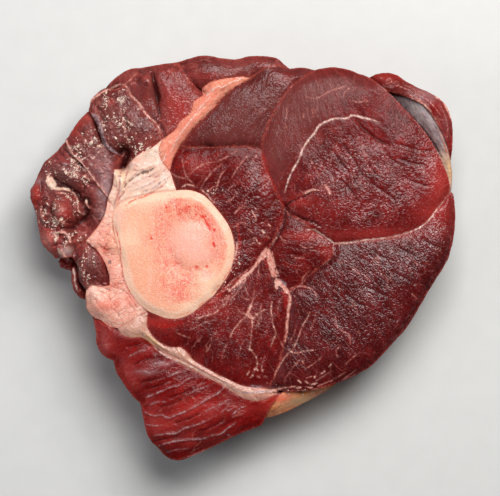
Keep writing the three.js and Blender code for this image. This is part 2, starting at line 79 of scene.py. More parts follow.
def hermite(start, end, leave, arrive, share):
    """The place on a smooth curve from start to end, with a direction at each end."""
    share = share[:, None]
    bend_out = share * (1 - share) ** 2
    bend_in = share * share * (share - 1)
    blend = share * share * (3 - 2 * share)
    return start * (1 - blend) + end * blend + leave * bend_out + arrive * bend_in


def smooth_line(places):
    """A smooth open line through the places."""
    padded = np.vstack([places[:1], places, places[-1:]])
    slopes = (padded[2:] - padded[:-2]) / 2
    share = np.arange(LINE_PARTS) / LINE_PARTS
    parts = [
        hermite(places[i], places[i + 1], slopes[i], slopes[i + 1], share)
        for i in range(len(places) - 1)
    ]
    return np.vstack(parts + [places[-1:]])


print("the photograph's frame is", round(IMAGE_WIDTH * PIXEL), "mm wide at the cut face")

# %% [markdown]
# ## Values that change softly
#
# Flesh is never even. A table of random numbers, read at smoothly changing places, gives
# values that drift over a chosen number of millimetres. The table is seeded, so each run
# gives the same meat. Each seed also turns the table, so that layers never line up.

# %% Soft noise
NOISE_CELLS = 97  # cells along each side of the random table, before it repeats


def soft_noise(places, size, seed):
    """A value from -1 to 1 at each place, which drifts over about size millimetres."""
    table = np.random.default_rng(seed).uniform(-1, 1, (NOISE_CELLS, NOISE_CELLS))
    turn = seed * 0.7
    x, y = np.asarray(places)[:, 0] / size, np.asarray(places)[:, 1] / size
    spread = np.stack([x * math.cos(turn) - y * math.sin(turn), x * math.sin(turn) + y * math.cos(turn)], 1)
    cell = np.floor(spread).astype(int)
    part = spread - cell
    part = part * part * (3 - 2 * part)
    low, high = cell % NOISE_CELLS, (cell + 1) % NOISE_CELLS
    bottom = table[low[:, 0], low[:, 1]] * (1 - part[:, 0]) + table[high[:, 0], low[:, 1]] * part[:, 0]
    top = table[low[:, 0], high[:, 1]] * (1 - part[:, 0]) + table[high[:, 0], high[:, 1]] * part[:, 0]
    return bottom * (1 - part[:, 1]) + top * part[:, 1]


def rough_noise(places, size, seed, layers=3):
    """Soft noise with finer and fainter noise laid over it."""
    total = sum(soft_noise(places, size / 2**i, seed + 31 * i) / 2**i for i in range(layers))
    return total / sum(1 / 2**i for i in range(layers))


print("noise over 10 mm:", soft_noise(np.array([[0, 0], [5, 0], [10, 0]]), 10, 1).round(2))

# %% [markdown]
# ## Distances on the face
#
# Nearly everything that follows asks how far a place is from a line: from the rim of its own
# muscle, from a vein, from a fold. One function answers all of them. It works in batches, so
# that large muscles don't fill the memory.

# %% Distance to a line
BATCH = 4000  # places that are compared with a line at once


def distance_to_line(places, line, closed=False):
    """For each place, its distance to the line in mm, and how far along the line that is (0 to 1)."""
    ends = np.roll(line, -1, 0) if closed else line[1:]
    starts = line if closed else line[:-1]
    ways = ends - starts
    lengths = np.maximum((ways**2).sum(1), 1e-9)
    nearest = np.empty(len(places))
    along = np.empty(len(places))
    for first in range(0, len(places), BATCH):
        batch = places[first:first + BATCH, None] - starts[None]
        share = np.clip((batch * ways).sum(2) / lengths, 0, 1)
        gaps = ((batch - share[:, :, None] * ways) ** 2).sum(2)
        best = gaps.argmin(1)
        rows = np.arange(len(best))
        nearest[first:first + BATCH] = np.sqrt(gaps[rows, best])
        along[first:first + BATCH] = (best + share[rows, best]) / len(starts)
    return nearest, along


def is_inside(places, outline):
    """True for each place inside a closed outline."""
    x, y = places.T
    inside = np.zeros(len(places), bool)
    for (x0, y0), (x1, y1) in zip(outline, np.roll(outline, -1, 0)):
        if y0 != y1:
            crosses = (y0 > y) != (y1 > y)
            inside ^= crosses & (x < x0 + (y - y0) / (y1 - y0) * (x1 - x0))
    return inside


# %% [markdown]
# ## Reading the solids
#
# The rim of a piece's cut face is where its uppermost faces stop. The solids are coarse, with
# edges up to 7.5 mm long, so each rim becomes a smooth closed curve with a point every
# millimetre, and real corners stay sharp. The solid's height is read by looking straight down
# on it, over a fine grid that is then blurred, which takes the flat facets away.

# %% Rims of the cut face
FACE_LOWEST = 0.72  # no corner of the cut face lies below this share of the height
CORNER_TURN = math.radians(38)  # a rim that turns more than this has a real corner there


def solid_mesh(node):
    """The corners of a node's solid in mm, and its faces."""
    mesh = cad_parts[node].data
    corners = np.array([v.co for v in mesh.vertices]) / MM
    return corners, [tuple(face.vertices) for face in mesh.polygons]


def rims_of(node):
    """The closed rims of a node's cut face, in mm, the longest first."""
    corners, faces = solid_mesh(node)
    number = {}
    weld = [number.setdefault(tuple(corner), len(number)) for corner in corners.round(2)]
    place = {weld[i]: corners[i, :2] for i in range(len(corners))}
    edges = set()
    for face in faces:
        if corners[list(face), 2].min() > FACE_LOWEST * corners[:, 2].max():
            ring = [weld[i] for i in face]
            edges.update(zip(ring, ring[1:] + ring[:1]))
    follow = {a: b for a, b in edges if (b, a) not in edges}
    loops = []
    while follow:
        start, here = follow.popitem()
        loop = [start]
        while here != start:
            loop.append(here)
            here = follow.pop(here)
        loops.append(np.array([place[i] for i in loop]))
    return sorted(loops, key=len, reverse=True)


def unit(ways):
    return ways / np.maximum(np.linalg.norm(ways, axis=1), 1e-9)[:, None]


def round_off(loop, spacing):
    """A smooth closed curve through a loop, with a point about every spacing millimetres."""
    ahead = unit(np.roll(loop, -1, 0) - loop)
    behind = np.roll(ahead, 1, 0)
    turn = np.arccos(np.clip((ahead * behind).sum(1), -1, 1))
    middle = unit(ahead + behind)
    corner = (turn > CORNER_TURN)[:, None]
    leave = np.where(corner, ahead, middle)
    arrive = np.where(corner, behind, middle)
    parts = []
    for i in range(len(loop)):
        j = (i + 1) % len(loop)
        length = np.linalg.norm(loop[j] - loop[i])
        count = max(1, round(length / spacing))
        share = np.arange(count) / count
        parts.append(hermite(loop[i], loop[j], leave[i] * length, arrive[j] * length, share))
    return np.vstack(parts)


solid_rims = {node: rims_of(node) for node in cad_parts}
print("rims:", {node: [len(rim) for rim in rims] for node, rims in solid_rims.items()})

# %% Heights of the cut face
GRID = 1.5  # millimetres between the places where a solid's height is read
GRID_MARGIN = 6  # grid cells kept round a solid
BLUR_PASSES = 4  # passes of a small blur, which together smooth over about 4 mm
ABOVE = 100  # millimetres, a height above the whole slice
DOWN = Vector((0, 0, -1))

solid_trees = {node: BVHTree.FromPolygons(*solid_mesh(node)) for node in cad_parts}


def height_grid(node):
    """The solid's height over a grid, blurred: the grid's first corner and its heights."""
    outline = solid_rims[node][0]
    low = outline.min(0) - GRID * GRID_MARGIN
    size = np.ceil((outline.max(0) - low) / GRID).astype(int) + GRID_MARGIN
    heights = np.full(tuple(size), np.nan)
    lowest = FACE_LOWEST * solid_mesh(node)[0][:, 2].max()
    for i in range(size[0]):
        for j in range(size[1]):
            start = Vector((low[0] + i * GRID, low[1] + j * GRID, ABOVE))
            hit = solid_trees[node].ray_cast(start, DOWN)[0]
            if hit and hit.z > lowest:
                heights[i, j] = hit.z
    known = ~np.isnan(heights)
    heights[~known] = 0
    weight = known.astype(float)
    while (weight == 0).any():
        total, count = heights * weight, weight.copy()
        for axis in (0, 1):
            for step in (1, -1):
                total += np.roll(heights * weight, step, axis)
                count += np.roll(weight, step, axis)
        new = (weight == 0) & (count > 0)
        heights[new] = total[new] / count[new]
        weight[new] = 1
    for _ in range(BLUR_PASSES):
        for axis in (0, 1):
            heights = (np.roll(heights, 1, axis) + 2 * heights + np.roll(heights, -1, axis)) / 4
    return low, heights


def height_at(grid, places):
    """The grid's height at each place, read between its points."""
    low, heights = grid
    spread = np.clip((places - low) / GRID, 0, np.array(heights.shape) - 1.001)
    cell = spread.astype(int)
    part = spread - cell
    i, j = cell.T
    near = heights[i, j] * (1 - part[:, 0]) + heights[i + 1, j] * part[:, 0]
    far = heights[i, j + 1] * (1 - part[:, 0]) + heights[i + 1, j + 1] * part[:, 0]
    return near * (1 - part[:, 1]) + far * part[:, 1]


height_grids = {node: height_grid(node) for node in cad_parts}
print("highest point read:", round(max(grid[1].max() for grid in height_grids.values()), 1), "mm")

# %% [markdown]
# ## Lines drawn in the meat
#
# Marbling could be painted by noise alone, but the eye knows a real cut by its own veins: the
# white arc in the round muscle, the forked vein under the bone, the silver lines of the heel.
# These are drawn one by one. Each line has a kind and half a width in millimetres. The kind is
# its tissue, except the dark kind, which is painted shade in folds, slits and shadow gaps and
# dark fibre grain in the strokes. Later each point of the mesh stores its distance to the
# nearest line of each kind, and the material turns distances into colour. Such a line has no
# jagged edge and needs no image.

# %% A store of drawn lines
HAIR = 0.16  # half widths of the lines, in millimetres
FINE = 0.28
PLAIN = 0.42
BLOOD_SPOT = 0.5
DUSTY_SEAM = 0.6
BROAD = 0.75
BLOOD_ARC = 0.85
WIDE = 1.3
TENDON = 1.9

# the dark kind is painted shade in folds, slits and shadow gaps, and dark fibre grain in the strokes
drawn = {kind: [] for kind in ("thread", "fat", "white", "silver", "cream", "shade_and_dark_grain", "red", "grey")}


def draw(kind, half_width, *lines):
    """Keeps smooth lines through pixels of the photograph, of one kind and half width."""
    for line in lines:
        drawn[kind].append((smooth_line(on_face(line)), half_width))


def count_lines():
    print("lines drawn:", {kind: len(lines) for kind, lines in drawn.items()})


count_lines()

# %% [markdown]
# The round muscle is crossed by one white arc: a sheet of sinew that the saw met edge on. Its
# threads are finer. Its slits are where bundles of fibres came apart, and their dark is painted
# shade.

# %% The round muscle: its white arc, pale threads and the painted shade of its slits
white_arc = (
    285,192, 287,184, 290,176, 294,168, 298,161, 301,154, 303,148, 307,142, 311,137, 315,132, 318,127,
    323,123, 328,121, 334,119, 339,118.5, 348,118, 351,115.5, 356,116, 362,117.5, 368,119, 375,121,
    380,122.5,
)
lobe_threads = [
    (306,97, 313,99, 320,97, 327,93, 333,90, 340,88, 346,86), (352,101, 358,102.5, 364,101.5, 370,101),
    (360,143, 362,147, 364,152, 366,157, 367,160), (311,161, 315,168, 319,176, 323,184),
    (318,190, 322,186, 327,187, 331,193), (286,107, 287,113, 286,120), (285,124, 288,130),
    (343,98, 345,92, 350,88), (303,118, 304,113),
]
lobe_thick_threads = [(304,194, 309,191, 314,190, 319,190.5), (325,186, 328,190, 330,194)]
lobe_slits = [
    (287,205, 291,202, 297,199, 303,197, 308,194, 312,192),
    (357,119, 359,124, 362,128, 367,132, 372,136, 379,141, 388,145),
]
lobe_strokes = [
    (333,151, 340,162, 349,173), (344,146, 352,158, 358,168, 362,176), (322,160, 327,170, 336,178),
    (366,160, 372,170, 380,178), (384,150, 392,160, 402,166), (398,158, 410,163, 424,165),
    (400,145, 410,148, 421,151, 432,151), (340,180, 350,190, 357,201), (372,184, 384,192, 393,199),
    (404,178, 416,183, 428,186),
]
lobe_lower_line = (
    306,229.5, 311,229.5, 315,230, 320,233, 326,237, 331,241, 334,243, 342,243, 350,242.5, 361,240.5,
    370,239.5, 380,238.5, 391,237, 401,234.5, 412,231, 421,227, 426,222.5, 431,218, 436,211, 440,206,
    444,201,
)
lobe_right_line = (444,201, 447,197, 450,193, 451,187, 450,178, 447,170)
lobe_deep_fold = (284,204, 290,213, 297,216, 305,220, 313,222, 320,226)

draw("white", PLAIN, white_arc)
draw("white", FINE, lobe_lower_line)
draw("thread", FINE, lobe_right_line, *lobe_threads)
draw("fat", PLAIN, *lobe_thick_threads)
# painted shade in the slits and the deep fold; the hairline strokes are shallow creases along the fibres,
# painted dark as shade and grain
draw("shade_and_dark_grain", PLAIN, *lobe_slits, lobe_deep_fold)
draw("shade_and_dark_grain", HAIR, *lobe_strokes)
count_lines()

# %% [markdown]
# Beside the bone the fat is a net of thin veins that fan out from it, with loose flecks.

# %% The muscle beside the bone: a net of thin veins
shank_veins = [
    (187,178, 193,171, 200,166, 207,163, 215,162, 225,158, 232,154, 238,149),
    (200,190, 205,181, 212,172, 218,167, 224,162), (216,190, 218,182, 221,175, 226,169),
    (232,178, 235,172, 238,167, 243,161, 248,156), (182,158, 183,164, 184,170, 187,178),
    (170,172, 176,176, 182,178, 188,179, 194,184), (226,202, 232,199, 238,193), (234,214, 240,208, 246,206),
    (236,226, 241,222, 247,224), (250,166, 253,160, 257,155), (206,196, 210,190, 214,186),
    (228,190, 232,186, 236,186),
]
shank_fat = [
    (252,212, 255,216, 256,221), (253,238, 256,239, 257,242), (251,244, 254,243), (248,229, 252,232),
    (273,245, 274,241, 277,237), (258,243, 261,244), (283,241, 286,243), (262,230, 264,233),
    (268,224, 271,227), (280,236, 282,239), (264,251, 266,248),
]
shank_red = [
    (262,152, 265,162, 268,172, 273,183, 279,196, 284,205), (237,222, 239,236, 239,250, 236,262),
    (176,168, 186,163, 194,157),
]
shank_top_fold = (262,151, 255,147, 248,145, 238,145, 228,145, 212,146, 198,148, 184,152)
shank_edge_fold = (285,207, 285,216, 283,226, 279,236, 273,245, 269,251)

draw("thread", FINE, *shank_veins)
draw("fat", FINE, *shank_fat)
draw("red", BROAD, *shank_red)
# painted shade along the folds at the top and the edge of this muscle
draw("shade_and_dark_grain", FINE, shank_top_fold)
draw("shade_and_dark_grain", BROAD, shank_edge_fold)
count_lines()

# %% [markdown]
# Below the bone two seams of fat meet in a V, and forked veins run down from it. A fuzz of fat
# clings to the bone's edge.

# %% The V of fat and the forked veins under the bone
v_left_arm = (268,250, 265,253, 262,256, 259,260, 256,265, 252,270, 249,273, 244,277, 237,284, 229,291)
v_left_strands = [
    (262,258, 258,264, 255,268, 250,274, 245,281, 241,288, 238,296),
    (250,268, 243,273, 236,278, 230,283, 224,290), (247,279, 240,284, 233,288, 226,290, 220,293),
    (259,266, 258,272, 260,277), (243,284, 237,292, 230,300), (236,290, 229,297, 221,301),
    (232,293, 228,300, 222,308),
]
v_right_arm = (269,250, 269,255, 270,260, 271,265, 272.5,270, 274,275, 277,276)
v_right_edge = (272,251, 273,257, 274,263, 276,269, 279,276)
v_head = (268,250, 264,255, 260,259)
v_knee = (276,279, 279,283, 283,286, 286,290, 289,294)
v_knee_inner = (275,280, 276,285, 277,289)
v_grey = (276,278, 280,281, 284,283, 286,286)
v_reds = [(281,291, 285,295, 286,301, 285,308), (263,258, 266,262, 269,268)]
right_vein = (289,294, 290,299, 289.5,306, 288,311, 288,317, 287,323, 287,330, 286,336, 285,342)
heart_veins = [
    (253,299, 251,306, 249,312, 251,316, 252,323, 252,330, 251,338, 250,345, 249,350),
    (249,349, 252,351, 254,354, 257,360, 257,367), (254,317, 259,313, 265,309),
    (249,313, 245,317, 241,321, 237,326, 233,331, 230,338),
    (272,302, 271,310, 272,318, 273,325, 276,333, 274,339, 271,346),
    (195,319, 205,316, 215,313, 219,309, 222,305), (283,347, 290,351, 296,353, 305,351, 313,350),
    (290,352, 286,356, 283,360, 279,367, 274,376), (310,312, 305,322, 302,327, 300,333, 296,343, 292,352),
]
heart_threads = [
    (245,287, 247,292, 250,297, 253,299), (254,286, 254,292, 253,299), (263,290, 258,294, 253,299),
    (240,296, 246,299, 252,300), (190,330, 198,326, 206,322, 216,320), (228,342, 224,350, 222,358),
    (212,336, 210,346, 206,352), (262,303, 260,312, 262,320), (244,340, 240,350, 238,358),
    (276,334, 280,340, 283,347), (265,356, 262,364, 262,372), (300,360, 294,366, 288,374, 284,382),
    (255,313, 259,318, 258,326), (236,306, 240,312, 246,314), (176,332, 184,336, 190,338),
    (283,296, 279,302, 278,310),
]
heart_forks = [(252,303, 249,310, 246,316), (247,315, 252,318, 255,317)]
heart_flecks = [
    (247,375, 249,371), (250,378, 253,375), (254,371, 256,368, 258,371), (257,376, 260,378),
    (262,372, 263,369), (264,376, 267,377), (292,386, 297,388, 302,387), (302,361, 304,364),
    (305,381, 311,384, 317,383), (306,387, 312,388), (298,380, 301,383), (321,374, 325,371),
    (314,378, 316,375), (329,367, 331,364),
]
bone_fuzz = [
    (237,243, 236,253, 233,263), (231,268, 227,274, 223,280), (220,284, 216,289, 212,294),
    (209,298, 203,303, 197,307), (192,311, 184,314, 176,316), (182,187, 188,184.5, 194,186),
    (202,190, 208,196, 214,203),
]
bone_fuzz_tips = [
    (225,284, 221,289), (222,291, 217,295), (228,287, 232,283), (214,300, 209,303), (229,295, 224,299),
    (220,305, 214,308), (210,309, 204,312), (206,315, 212,313),
]
bone_foot_red = [
    (150,321, 160,325, 172,325, 184,322), (228,284, 221,293, 213,302, 203,310), (234,282, 242,276, 249,272),
]

draw("fat", BROAD, v_left_arm, right_vein)
draw("fat", WIDE, v_right_arm, v_knee, v_head)
draw("fat", PLAIN, v_right_edge, v_knee_inner)
draw("thread", FINE, *v_left_strands)
draw("grey", BROAD, v_grey)
draw("fat", HAIR, *heart_veins)
draw("thread", HAIR, *heart_threads)
draw("fat", BROAD, *heart_forks)
draw("fat", FINE, *heart_flecks, *bone_fuzz)
draw("thread", FINE, *bone_fuzz_tips)
draw("red", WIDE, *bone_foot_red, *v_reds)
count_lines()

# %% [markdown]
# The outer muscle has little marbling: a few hairline veins, and flecks along its outer edge.

# %% The wedge and the large outer muscle
wedge_lines = [
    (289,290, 292,288, 296,286.5, 301,286, 306,287, 311,289, 315,293, 317,298), (311,289, 313,286),
    (302,281, 303,278, 305,275, 309,271), (291,255, 296,258, 304,258), (300,245, 306,248, 313,247),
]
wedge_fold = (334,245, 336,250, 336,256, 333,259, 330,261, 325,265, 316,268, 310,274, 303,283)
outer_veins = [
    (335,314, 336,322, 338,328, 343,331, 349,334), (349,334, 350,339, 350,345), (412,294, 417,299),
    (406,258, 412,261, 418,265), (352,268, 358,273, 364,275, 370,280), (316,312, 314,322, 310,330),
    (322,356, 316,362, 306,368), (360,352, 352,358, 346,364), (340,345, 336,351, 338,358),
    (296,325, 294,334, 290,341), (330,372, 322,377, 316,381),
]
outer_edge_flecks = [
    (335,379, 340,376, 346,372), (343,380, 350,375, 356,370), (306,378, 312,376),
    (318,386, 326,383, 333,380), (310,391, 318,389), (296,391, 304,392), (350,379, 356,375),
]
outer_strokes = [
    (352,252, 360,258, 368,262), (372,250, 380,256, 390,260), (396,246, 406,252, 414,256),
    (420,238, 430,244, 440,248), (366,286, 376,292, 386,296), (394,272, 404,278, 414,284),
    (420,262, 428,268, 436,270), (346,294, 356,302, 364,306), (380,312, 390,318, 398,320),
]
outer_rim_line = (325,392, 340,388, 352,381, 372,367, 391,348, 410,326, 430,292, 448,260)

draw("thread", FINE, *wedge_lines, outer_veins[0], outer_veins[1])
draw("thread", HAIR, *outer_veins[2:])
draw("thread", FINE, *outer_edge_flecks, outer_rim_line)
# painted shade in the wedge's fold; the strokes on the outer muscle are shallow creases, painted dark as
# shade and grain
draw("shade_and_dark_grain", FINE, wedge_fold)
draw("shade_and_dark_grain", HAIR, *outer_strokes)
count_lines()

# %% [markdown]
# The heel is cut along its fibres, so its sinew shows as silver lines and not as dots.

# %% The heel: silver lines along its fibres
heel_lines = [
    (146,398, 150,396, 155,394, 164,390, 172,387, 180,385, 186,380, 194,377),
    (143,412, 150,415, 156,416, 162,415, 168,418, 176,415, 186,411, 196,406, 206,400, 217,394, 224,388),
    (154,436, 160,435, 165,434, 171,434, 177,433, 183,429, 190,427, 196,425, 204,422, 211,419),
    (159,446, 168,443, 177,441, 188,440, 203,439, 211,436, 221,434, 227,429, 236,423),
]
heel_threads = [
    (136,372, 143,371, 150,373, 158,369), (150,366, 158,363, 165,363), (168,377, 176,373, 184,372, 190,368),
    (186,396, 194,391, 203,388), (205,412, 212,408, 220,405, 228,400), (228,435, 231,438),
    (228,411, 232,409), (221,413, 225,409, 229,404), (150,405, 158,402, 166,402),
    (146,425, 154,426, 162,425), (166,453, 176,450, 188,449), (232,415, 239,409, 246,406),
    (129,357, 137,352, 146,350),
]
heel_strokes = [
    (140,383, 152,380, 164,377), (146,389, 158,386, 170,381), (133,365, 142,361, 152,358),
    (170,398, 180,394, 190,390), (160,407, 172,404, 184,398), (176,423, 188,419, 200,413),
    (152,442, 165,439, 178,437), (200,431, 212,427, 224,420), (128,347, 138,345, 148,341),
]
heel_reds = [(176,408, 186,404, 196,398, 206,392), (192,414, 204,408, 216,402)]
heel_foot_line = (180,460, 190,456.5, 200,453, 215,447, 232,440, 246,433, 261,427)

draw("silver", FINE, *heel_lines)
draw("silver", HAIR, *heel_threads)
# the heel's strokes are shallow creases along its fibres, painted dark as shade and grain
draw("shade_and_dark_grain", FINE, *heel_strokes)
draw("red", BROAD, *heel_reds)
draw("thread", FINE, heel_foot_line)
count_lines()

# %% [markdown]
# The capsule has folds painted dark as shade, white fibres and purple stains. The bone has an
# arc and spots of fresh blood. The seams have pale streaks along them.

# %% Bone, capsule, gristle and the seams of fat
bone_red_arc = (201,216, 203,217, 205,220, 207,223, 209,227, 210,230)
bone_red_spots = [
    (176,263, 178,264), (196,267, 198,267), (206,267, 208,266), (196,214, 197,215), (205,216, 206,217),
    (213,242, 215,247), (213,229, 215,231),
]
bone_rust_spots = [
    (166,207, 167,208), (188,206, 190,207), (151,238, 153,239), (176,264, 180,263), (169,195, 170,196),
    (210,226, 212,229), (212,237, 214,240), (171,271, 173,273), (177,286, 179,288), (156,234, 158,236),
    (217,250, 217,256), (210,261, 213,262),
]
capsule_shaded_fold = (124,188, 126,184, 129,181, 133,178, 138,175, 143,172, 149,171, 154,168)
capsule_shadow_bit = (142,174, 145,172.5, 149,172)
capsule_purple_lines = [
    (160,183, 157,186, 152,189, 146,191, 140,192.5),
    (163,186, 157,190, 150,194, 143,197, 136,199, 130,202, 125,206),
]
capsule_grey_specks = [
    (170,167, 168,171), (167,173, 166,176), (169,176, 167,179), (165,179, 163,182), (163,176, 162,179),
    (166,182, 163,185), (161,182, 159,184), (166,170, 165,172),
]
capsule_tan_lines = [
    (121,170, 120,178, 119,188, 117,197, 113,206), (127,170, 126,176, 124,184), (113,184, 116,187, 118,191),
    (141,179, 146,177, 151,176), (124,191, 122,195, 118,200), (165,170, 161,174, 154,178),
    (133,169, 137,171, 141,170),
]
capsule_fibres = [
    (129,186, 137,181, 146,177, 156,172, 162,167), (132,190, 144,186, 154,181, 162,174),
    (130,178, 135,174, 141,170, 150,166), (118,174, 121,182, 121,190, 118,197),
    (136,196, 146,193, 154,189, 161,185), (114,174, 117,181, 117,189), (160,166, 163,160, 166,155),
    (129,166, 133,163, 138,166),
]
gristle_creases = [
    (101,227, 106,226, 112,222), (99,290, 104,293, 108,297, 112,301, 116,307), (109,241, 106,245, 104,249),
    (103,254, 108,253, 113,255), (98,231, 101,236, 104,239), (113,287, 120,289, 127,293, 132,300, 137,307),
    (106,234, 112,237, 116,243), (90,296, 95,299, 97,304), (126,300, 131,306, 136,312),
    (111,308, 117,312, 120,318), (100,246, 105,250, 111,249), (111,282, 116,285, 121,283),
]
gristle_brown_band = (95,281, 99,285, 105,288, 111,291)
gristle_rim_line = (115,226, 118,236, 120,246, 121,258, 122,268, 123,278, 128,289, 134,298)
gristle_purple = [(109,261, 111,263)]
upper_fat_streaks = [
    (222,88, 232,82, 243,78), (206,96, 212,90, 220,86), (196,112, 204,104, 210,97),
    (180,134, 188,124, 196,114), (171,152, 175,143, 181,133),
]
fat_edge_line = (
    251,79, 243,82.5, 235,87, 228,92, 222,98, 217,103, 214,108, 207,114, 201,120, 195,126, 190,132, 185,138,
    181,144, 177,151, 174,158, 172,165,
)
sinew_lines = [
    (152,345, 160,352, 170,358, 180,362, 190,366, 205,374, 217,380, 230,386, 240,393),
    (146,330, 154,338, 163,345, 176,349),
]
sinew_red_line = (156,347, 168,354, 181,360, 195,368, 210,377, 225,384)
sinew_streaks = [
    (186,360, 196,366, 208,372, 220,379, 236,386), (252,389, 268,390, 284,388, 296,386),
    (246,396, 258,397, 270,396, 280,393),
]
sinew_greys = [(238,391, 248,393, 260,392, 272,391), (250,386, 262,387), (138,330, 146,338)]

draw("red", BLOOD_ARC, bone_red_arc)
draw("red", BLOOD_SPOT, *bone_red_spots, *bone_rust_spots[:3])
draw("fat", PLAIN, *bone_rust_spots[3:])
# painted shade along the capsule's fold, and a painted shadow under the edge of its flap
draw("shade_and_dark_grain", PLAIN, capsule_shaded_fold)
draw("shade_and_dark_grain", BROAD, capsule_shadow_bit)
draw("grey", HAIR, *capsule_grey_specks)
draw("grey", FINE, capsule_purple_lines[0])
draw("red", FINE, capsule_purple_lines[1], gristle_rim_line)
draw("thread", PLAIN, *capsule_tan_lines, gristle_brown_band)
draw("white", FINE, *capsule_fibres, *upper_fat_streaks, sinew_lines[0])
draw("grey", BROAD, *gristle_purple)
# the gristle's creases: the red tissue in them, deepened as painted shade; the sinew's red line is its own
# colour
draw("red", HAIR, *gristle_creases, sinew_red_line)
# painted shade in the crease along the edge of the fat seam
draw("shade_and_dark_grain", FINE, fat_edge_line)
draw("thread", FINE, sinew_lines[1])
draw("fat", FINE, *sinew_streaks)
draw("grey", FINE, *sinew_greys)
count_lines()

# %% [markdown]
# On the left the meat is torn and not sawn. Folds, hollows and ropes of sinew cross there, so
# this part has the most lines.

# %% The dusty top left, and the torn edge
saddle_outer_edge = (87,108, 88.5,103, 91,99, 97,94.5, 103,91, 109,88.5, 114,86.5, 119,84)
saddle_seam = (
    119,84, 124,84.5, 127,87, 129,91.5, 132,96, 137,101, 141,106, 144,111, 149,117, 155,122, 160,130,
)
fringe_seam = (64.5,137.5, 66,142, 69,149, 73,155.5, 80,160.5, 84,167, 88.5,173, 94,180, 100,187, 107,196)
crooked_thread = (80,160, 85,157.5, 89,155.5, 92,158.5, 95,156, 98,152, 103,150)
saddle_seams = [
    (125,84, 130,79.5, 136,73), (116,107, 120,110, 122,115, 124,125, 126,135, 129,143, 133,150),
    (99,166, 103,173, 107,181), (94,166, 98,163, 103,164), (128,88, 131,84, 135,82.5),
    (99,110, 102,114, 105,118), (86,135, 85,140, 84,145), (93,131, 91,137, 92,141),
    (101,180, 103,186, 107,194), (99,207, 102,211, 105,214), (91,215, 95,219, 98,224),
]
membrane_edge = (91.5,113.5, 95,117, 98,122, 100,128, 102,136, 105,144, 110,149, 118,154)
membrane_shadow = (92.5,119, 96,125, 98,131, 100,138, 103,145, 107,149, 112,153)
flap_shadow = (391,93, 400,102, 408,110.5, 415,118, 424,128, 432,138.5, 438,147, 443,156)
flap_inner_edge = (412,98.5, 419,101, 426,106, 432,113, 436.5,121, 440,130, 444,140, 447,149, 450,157)
flap_outer_edge = (436,96.5, 441,97.5, 445,101, 448,107, 451,114, 453,120)
flap_froth = [
    (386,80, 389,78, 392,79.5, 391,82, 387,83), (394,82, 397,81, 399,84, 396,86), (383,85, 388,87, 393,88),
    (400,86, 405,88.5, 411,89.5), (380,78, 383,77),
]
flap_strands = [
    (405,84, 415,89, 425,94, 434,101), (412,92, 424,97, 434,106, 441,116), (399,92, 410,95, 420,99),
    (440,104, 445,114, 448,126, 448,138),
]
top_slits = [
    (152,74, 154,84, 156,96, 158,107, 160,117), (98,108, 101,114, 105,122), (124,115, 126,121, 127,128),
    (196,86, 200,88, 204,92), (160,124, 163,131, 164,137), (95,124, 98,133, 102,142),
    (108,144, 114,150, 121,153),
]
top_groove = (153.5,76, 155,84, 157,92, 158.5,101)
hollow_line = (121,151, 124,149, 127,152, 125,158, 123,163, 121,168)
fringe_hollows = [
    (52,177, 56,181, 60,184.5, 68,186), (70,190, 76,194, 80,199, 86,200),
    (86,202, 87,209, 84,217, 79,222, 72,225),
]
fringe_folds = [
    (57,151, 62,155, 67,159), (54,156, 58,160, 61,164, 70,166), (62,148, 67,152, 71,157),
    (88,202, 92,206, 97,209), (71,203, 73,209, 75,216, 77,221), (52,203, 50,209, 53,216),
    (45,199, 41,204, 44,209), (36,203, 41,208, 43,214), (45,227, 51,228, 57,230), (60,228, 66,229, 74,228),
    (58,236, 62,240, 66,240), (53,246, 58,244, 62,246), (82,181, 84,186, 83,192), (66,194, 70,198, 72,203),
    (61,218, 66,222, 71,222), (53,219, 56,223, 58,226), (57,256, 60,260, 66,263), (74,246, 75,254, 76,262),
    (40,181, 41,187, 39,194), (87,181, 90,184, 95,184),
]
side_cleft = (69,261, 74,264, 77,271, 78,279, 81,287, 84,290)
fringe_tendon = (47.5,177, 49.5,181, 51.5,185, 54.5,188)
fringe_tendon_tail = (53,188.5, 58,188.5, 64,188.5, 69,190)
tendon_bits = [(85,199.5, 86,202), (57.5,248, 59,251, 60,254), (63,218, 60,220)]
fringe_ropes = [
    (68,189.5, 72,192.5, 75.5,197, 77.5,203, 78,210, 81,214, 85,213), (56,193, 63,193, 68,196, 71,201),
    (40,205, 40,213, 43,221), (85,201, 86,204, 89,208), (82,176, 86,177, 89,181),
]
fringe_coral = [(59,232, 64,233, 68,237, 70,243), (60,249, 62,254, 65,258, 69,262)]
fringe_fat = [
    (64,170, 66,171), (67,174, 70,172), (72,161, 74,159), (76,155, 78,152), (54,172, 56,173),
    (46,204, 49,205), (45,211, 47,215), (48,213, 51,216), (65,241, 67,243), (55,236, 57,239),
    (84,175, 86,176), (77,172, 79,175), (75,168, 78,167), (63,222, 66,220), (57,220, 59,223),
]
ribbon_line = (72,269, 73.5,276, 74,283, 76,291)
stub_red_line = (80,249, 85,247, 90,244, 96,249, 99,256, 103,262, 106,272)

# a painted shadow in the gap beside the lobe's edge, under the flap
draw("shade_and_dark_grain", BROAD, flap_shadow)
draw("fat", BROAD, flap_outer_edge)
draw("fat", PLAIN, flap_inner_edge)
draw("thread", HAIR, *flap_froth, *flap_strands)
draw("fat", DUSTY_SEAM, saddle_outer_edge, fringe_seam)
draw("fat", PLAIN, saddle_seam)
draw("white", HAIR, crooked_thread)
draw("thread", FINE, *saddle_seams)
draw("grey", WIDE, membrane_edge)
draw("silver", BROAD, membrane_edge[:10])
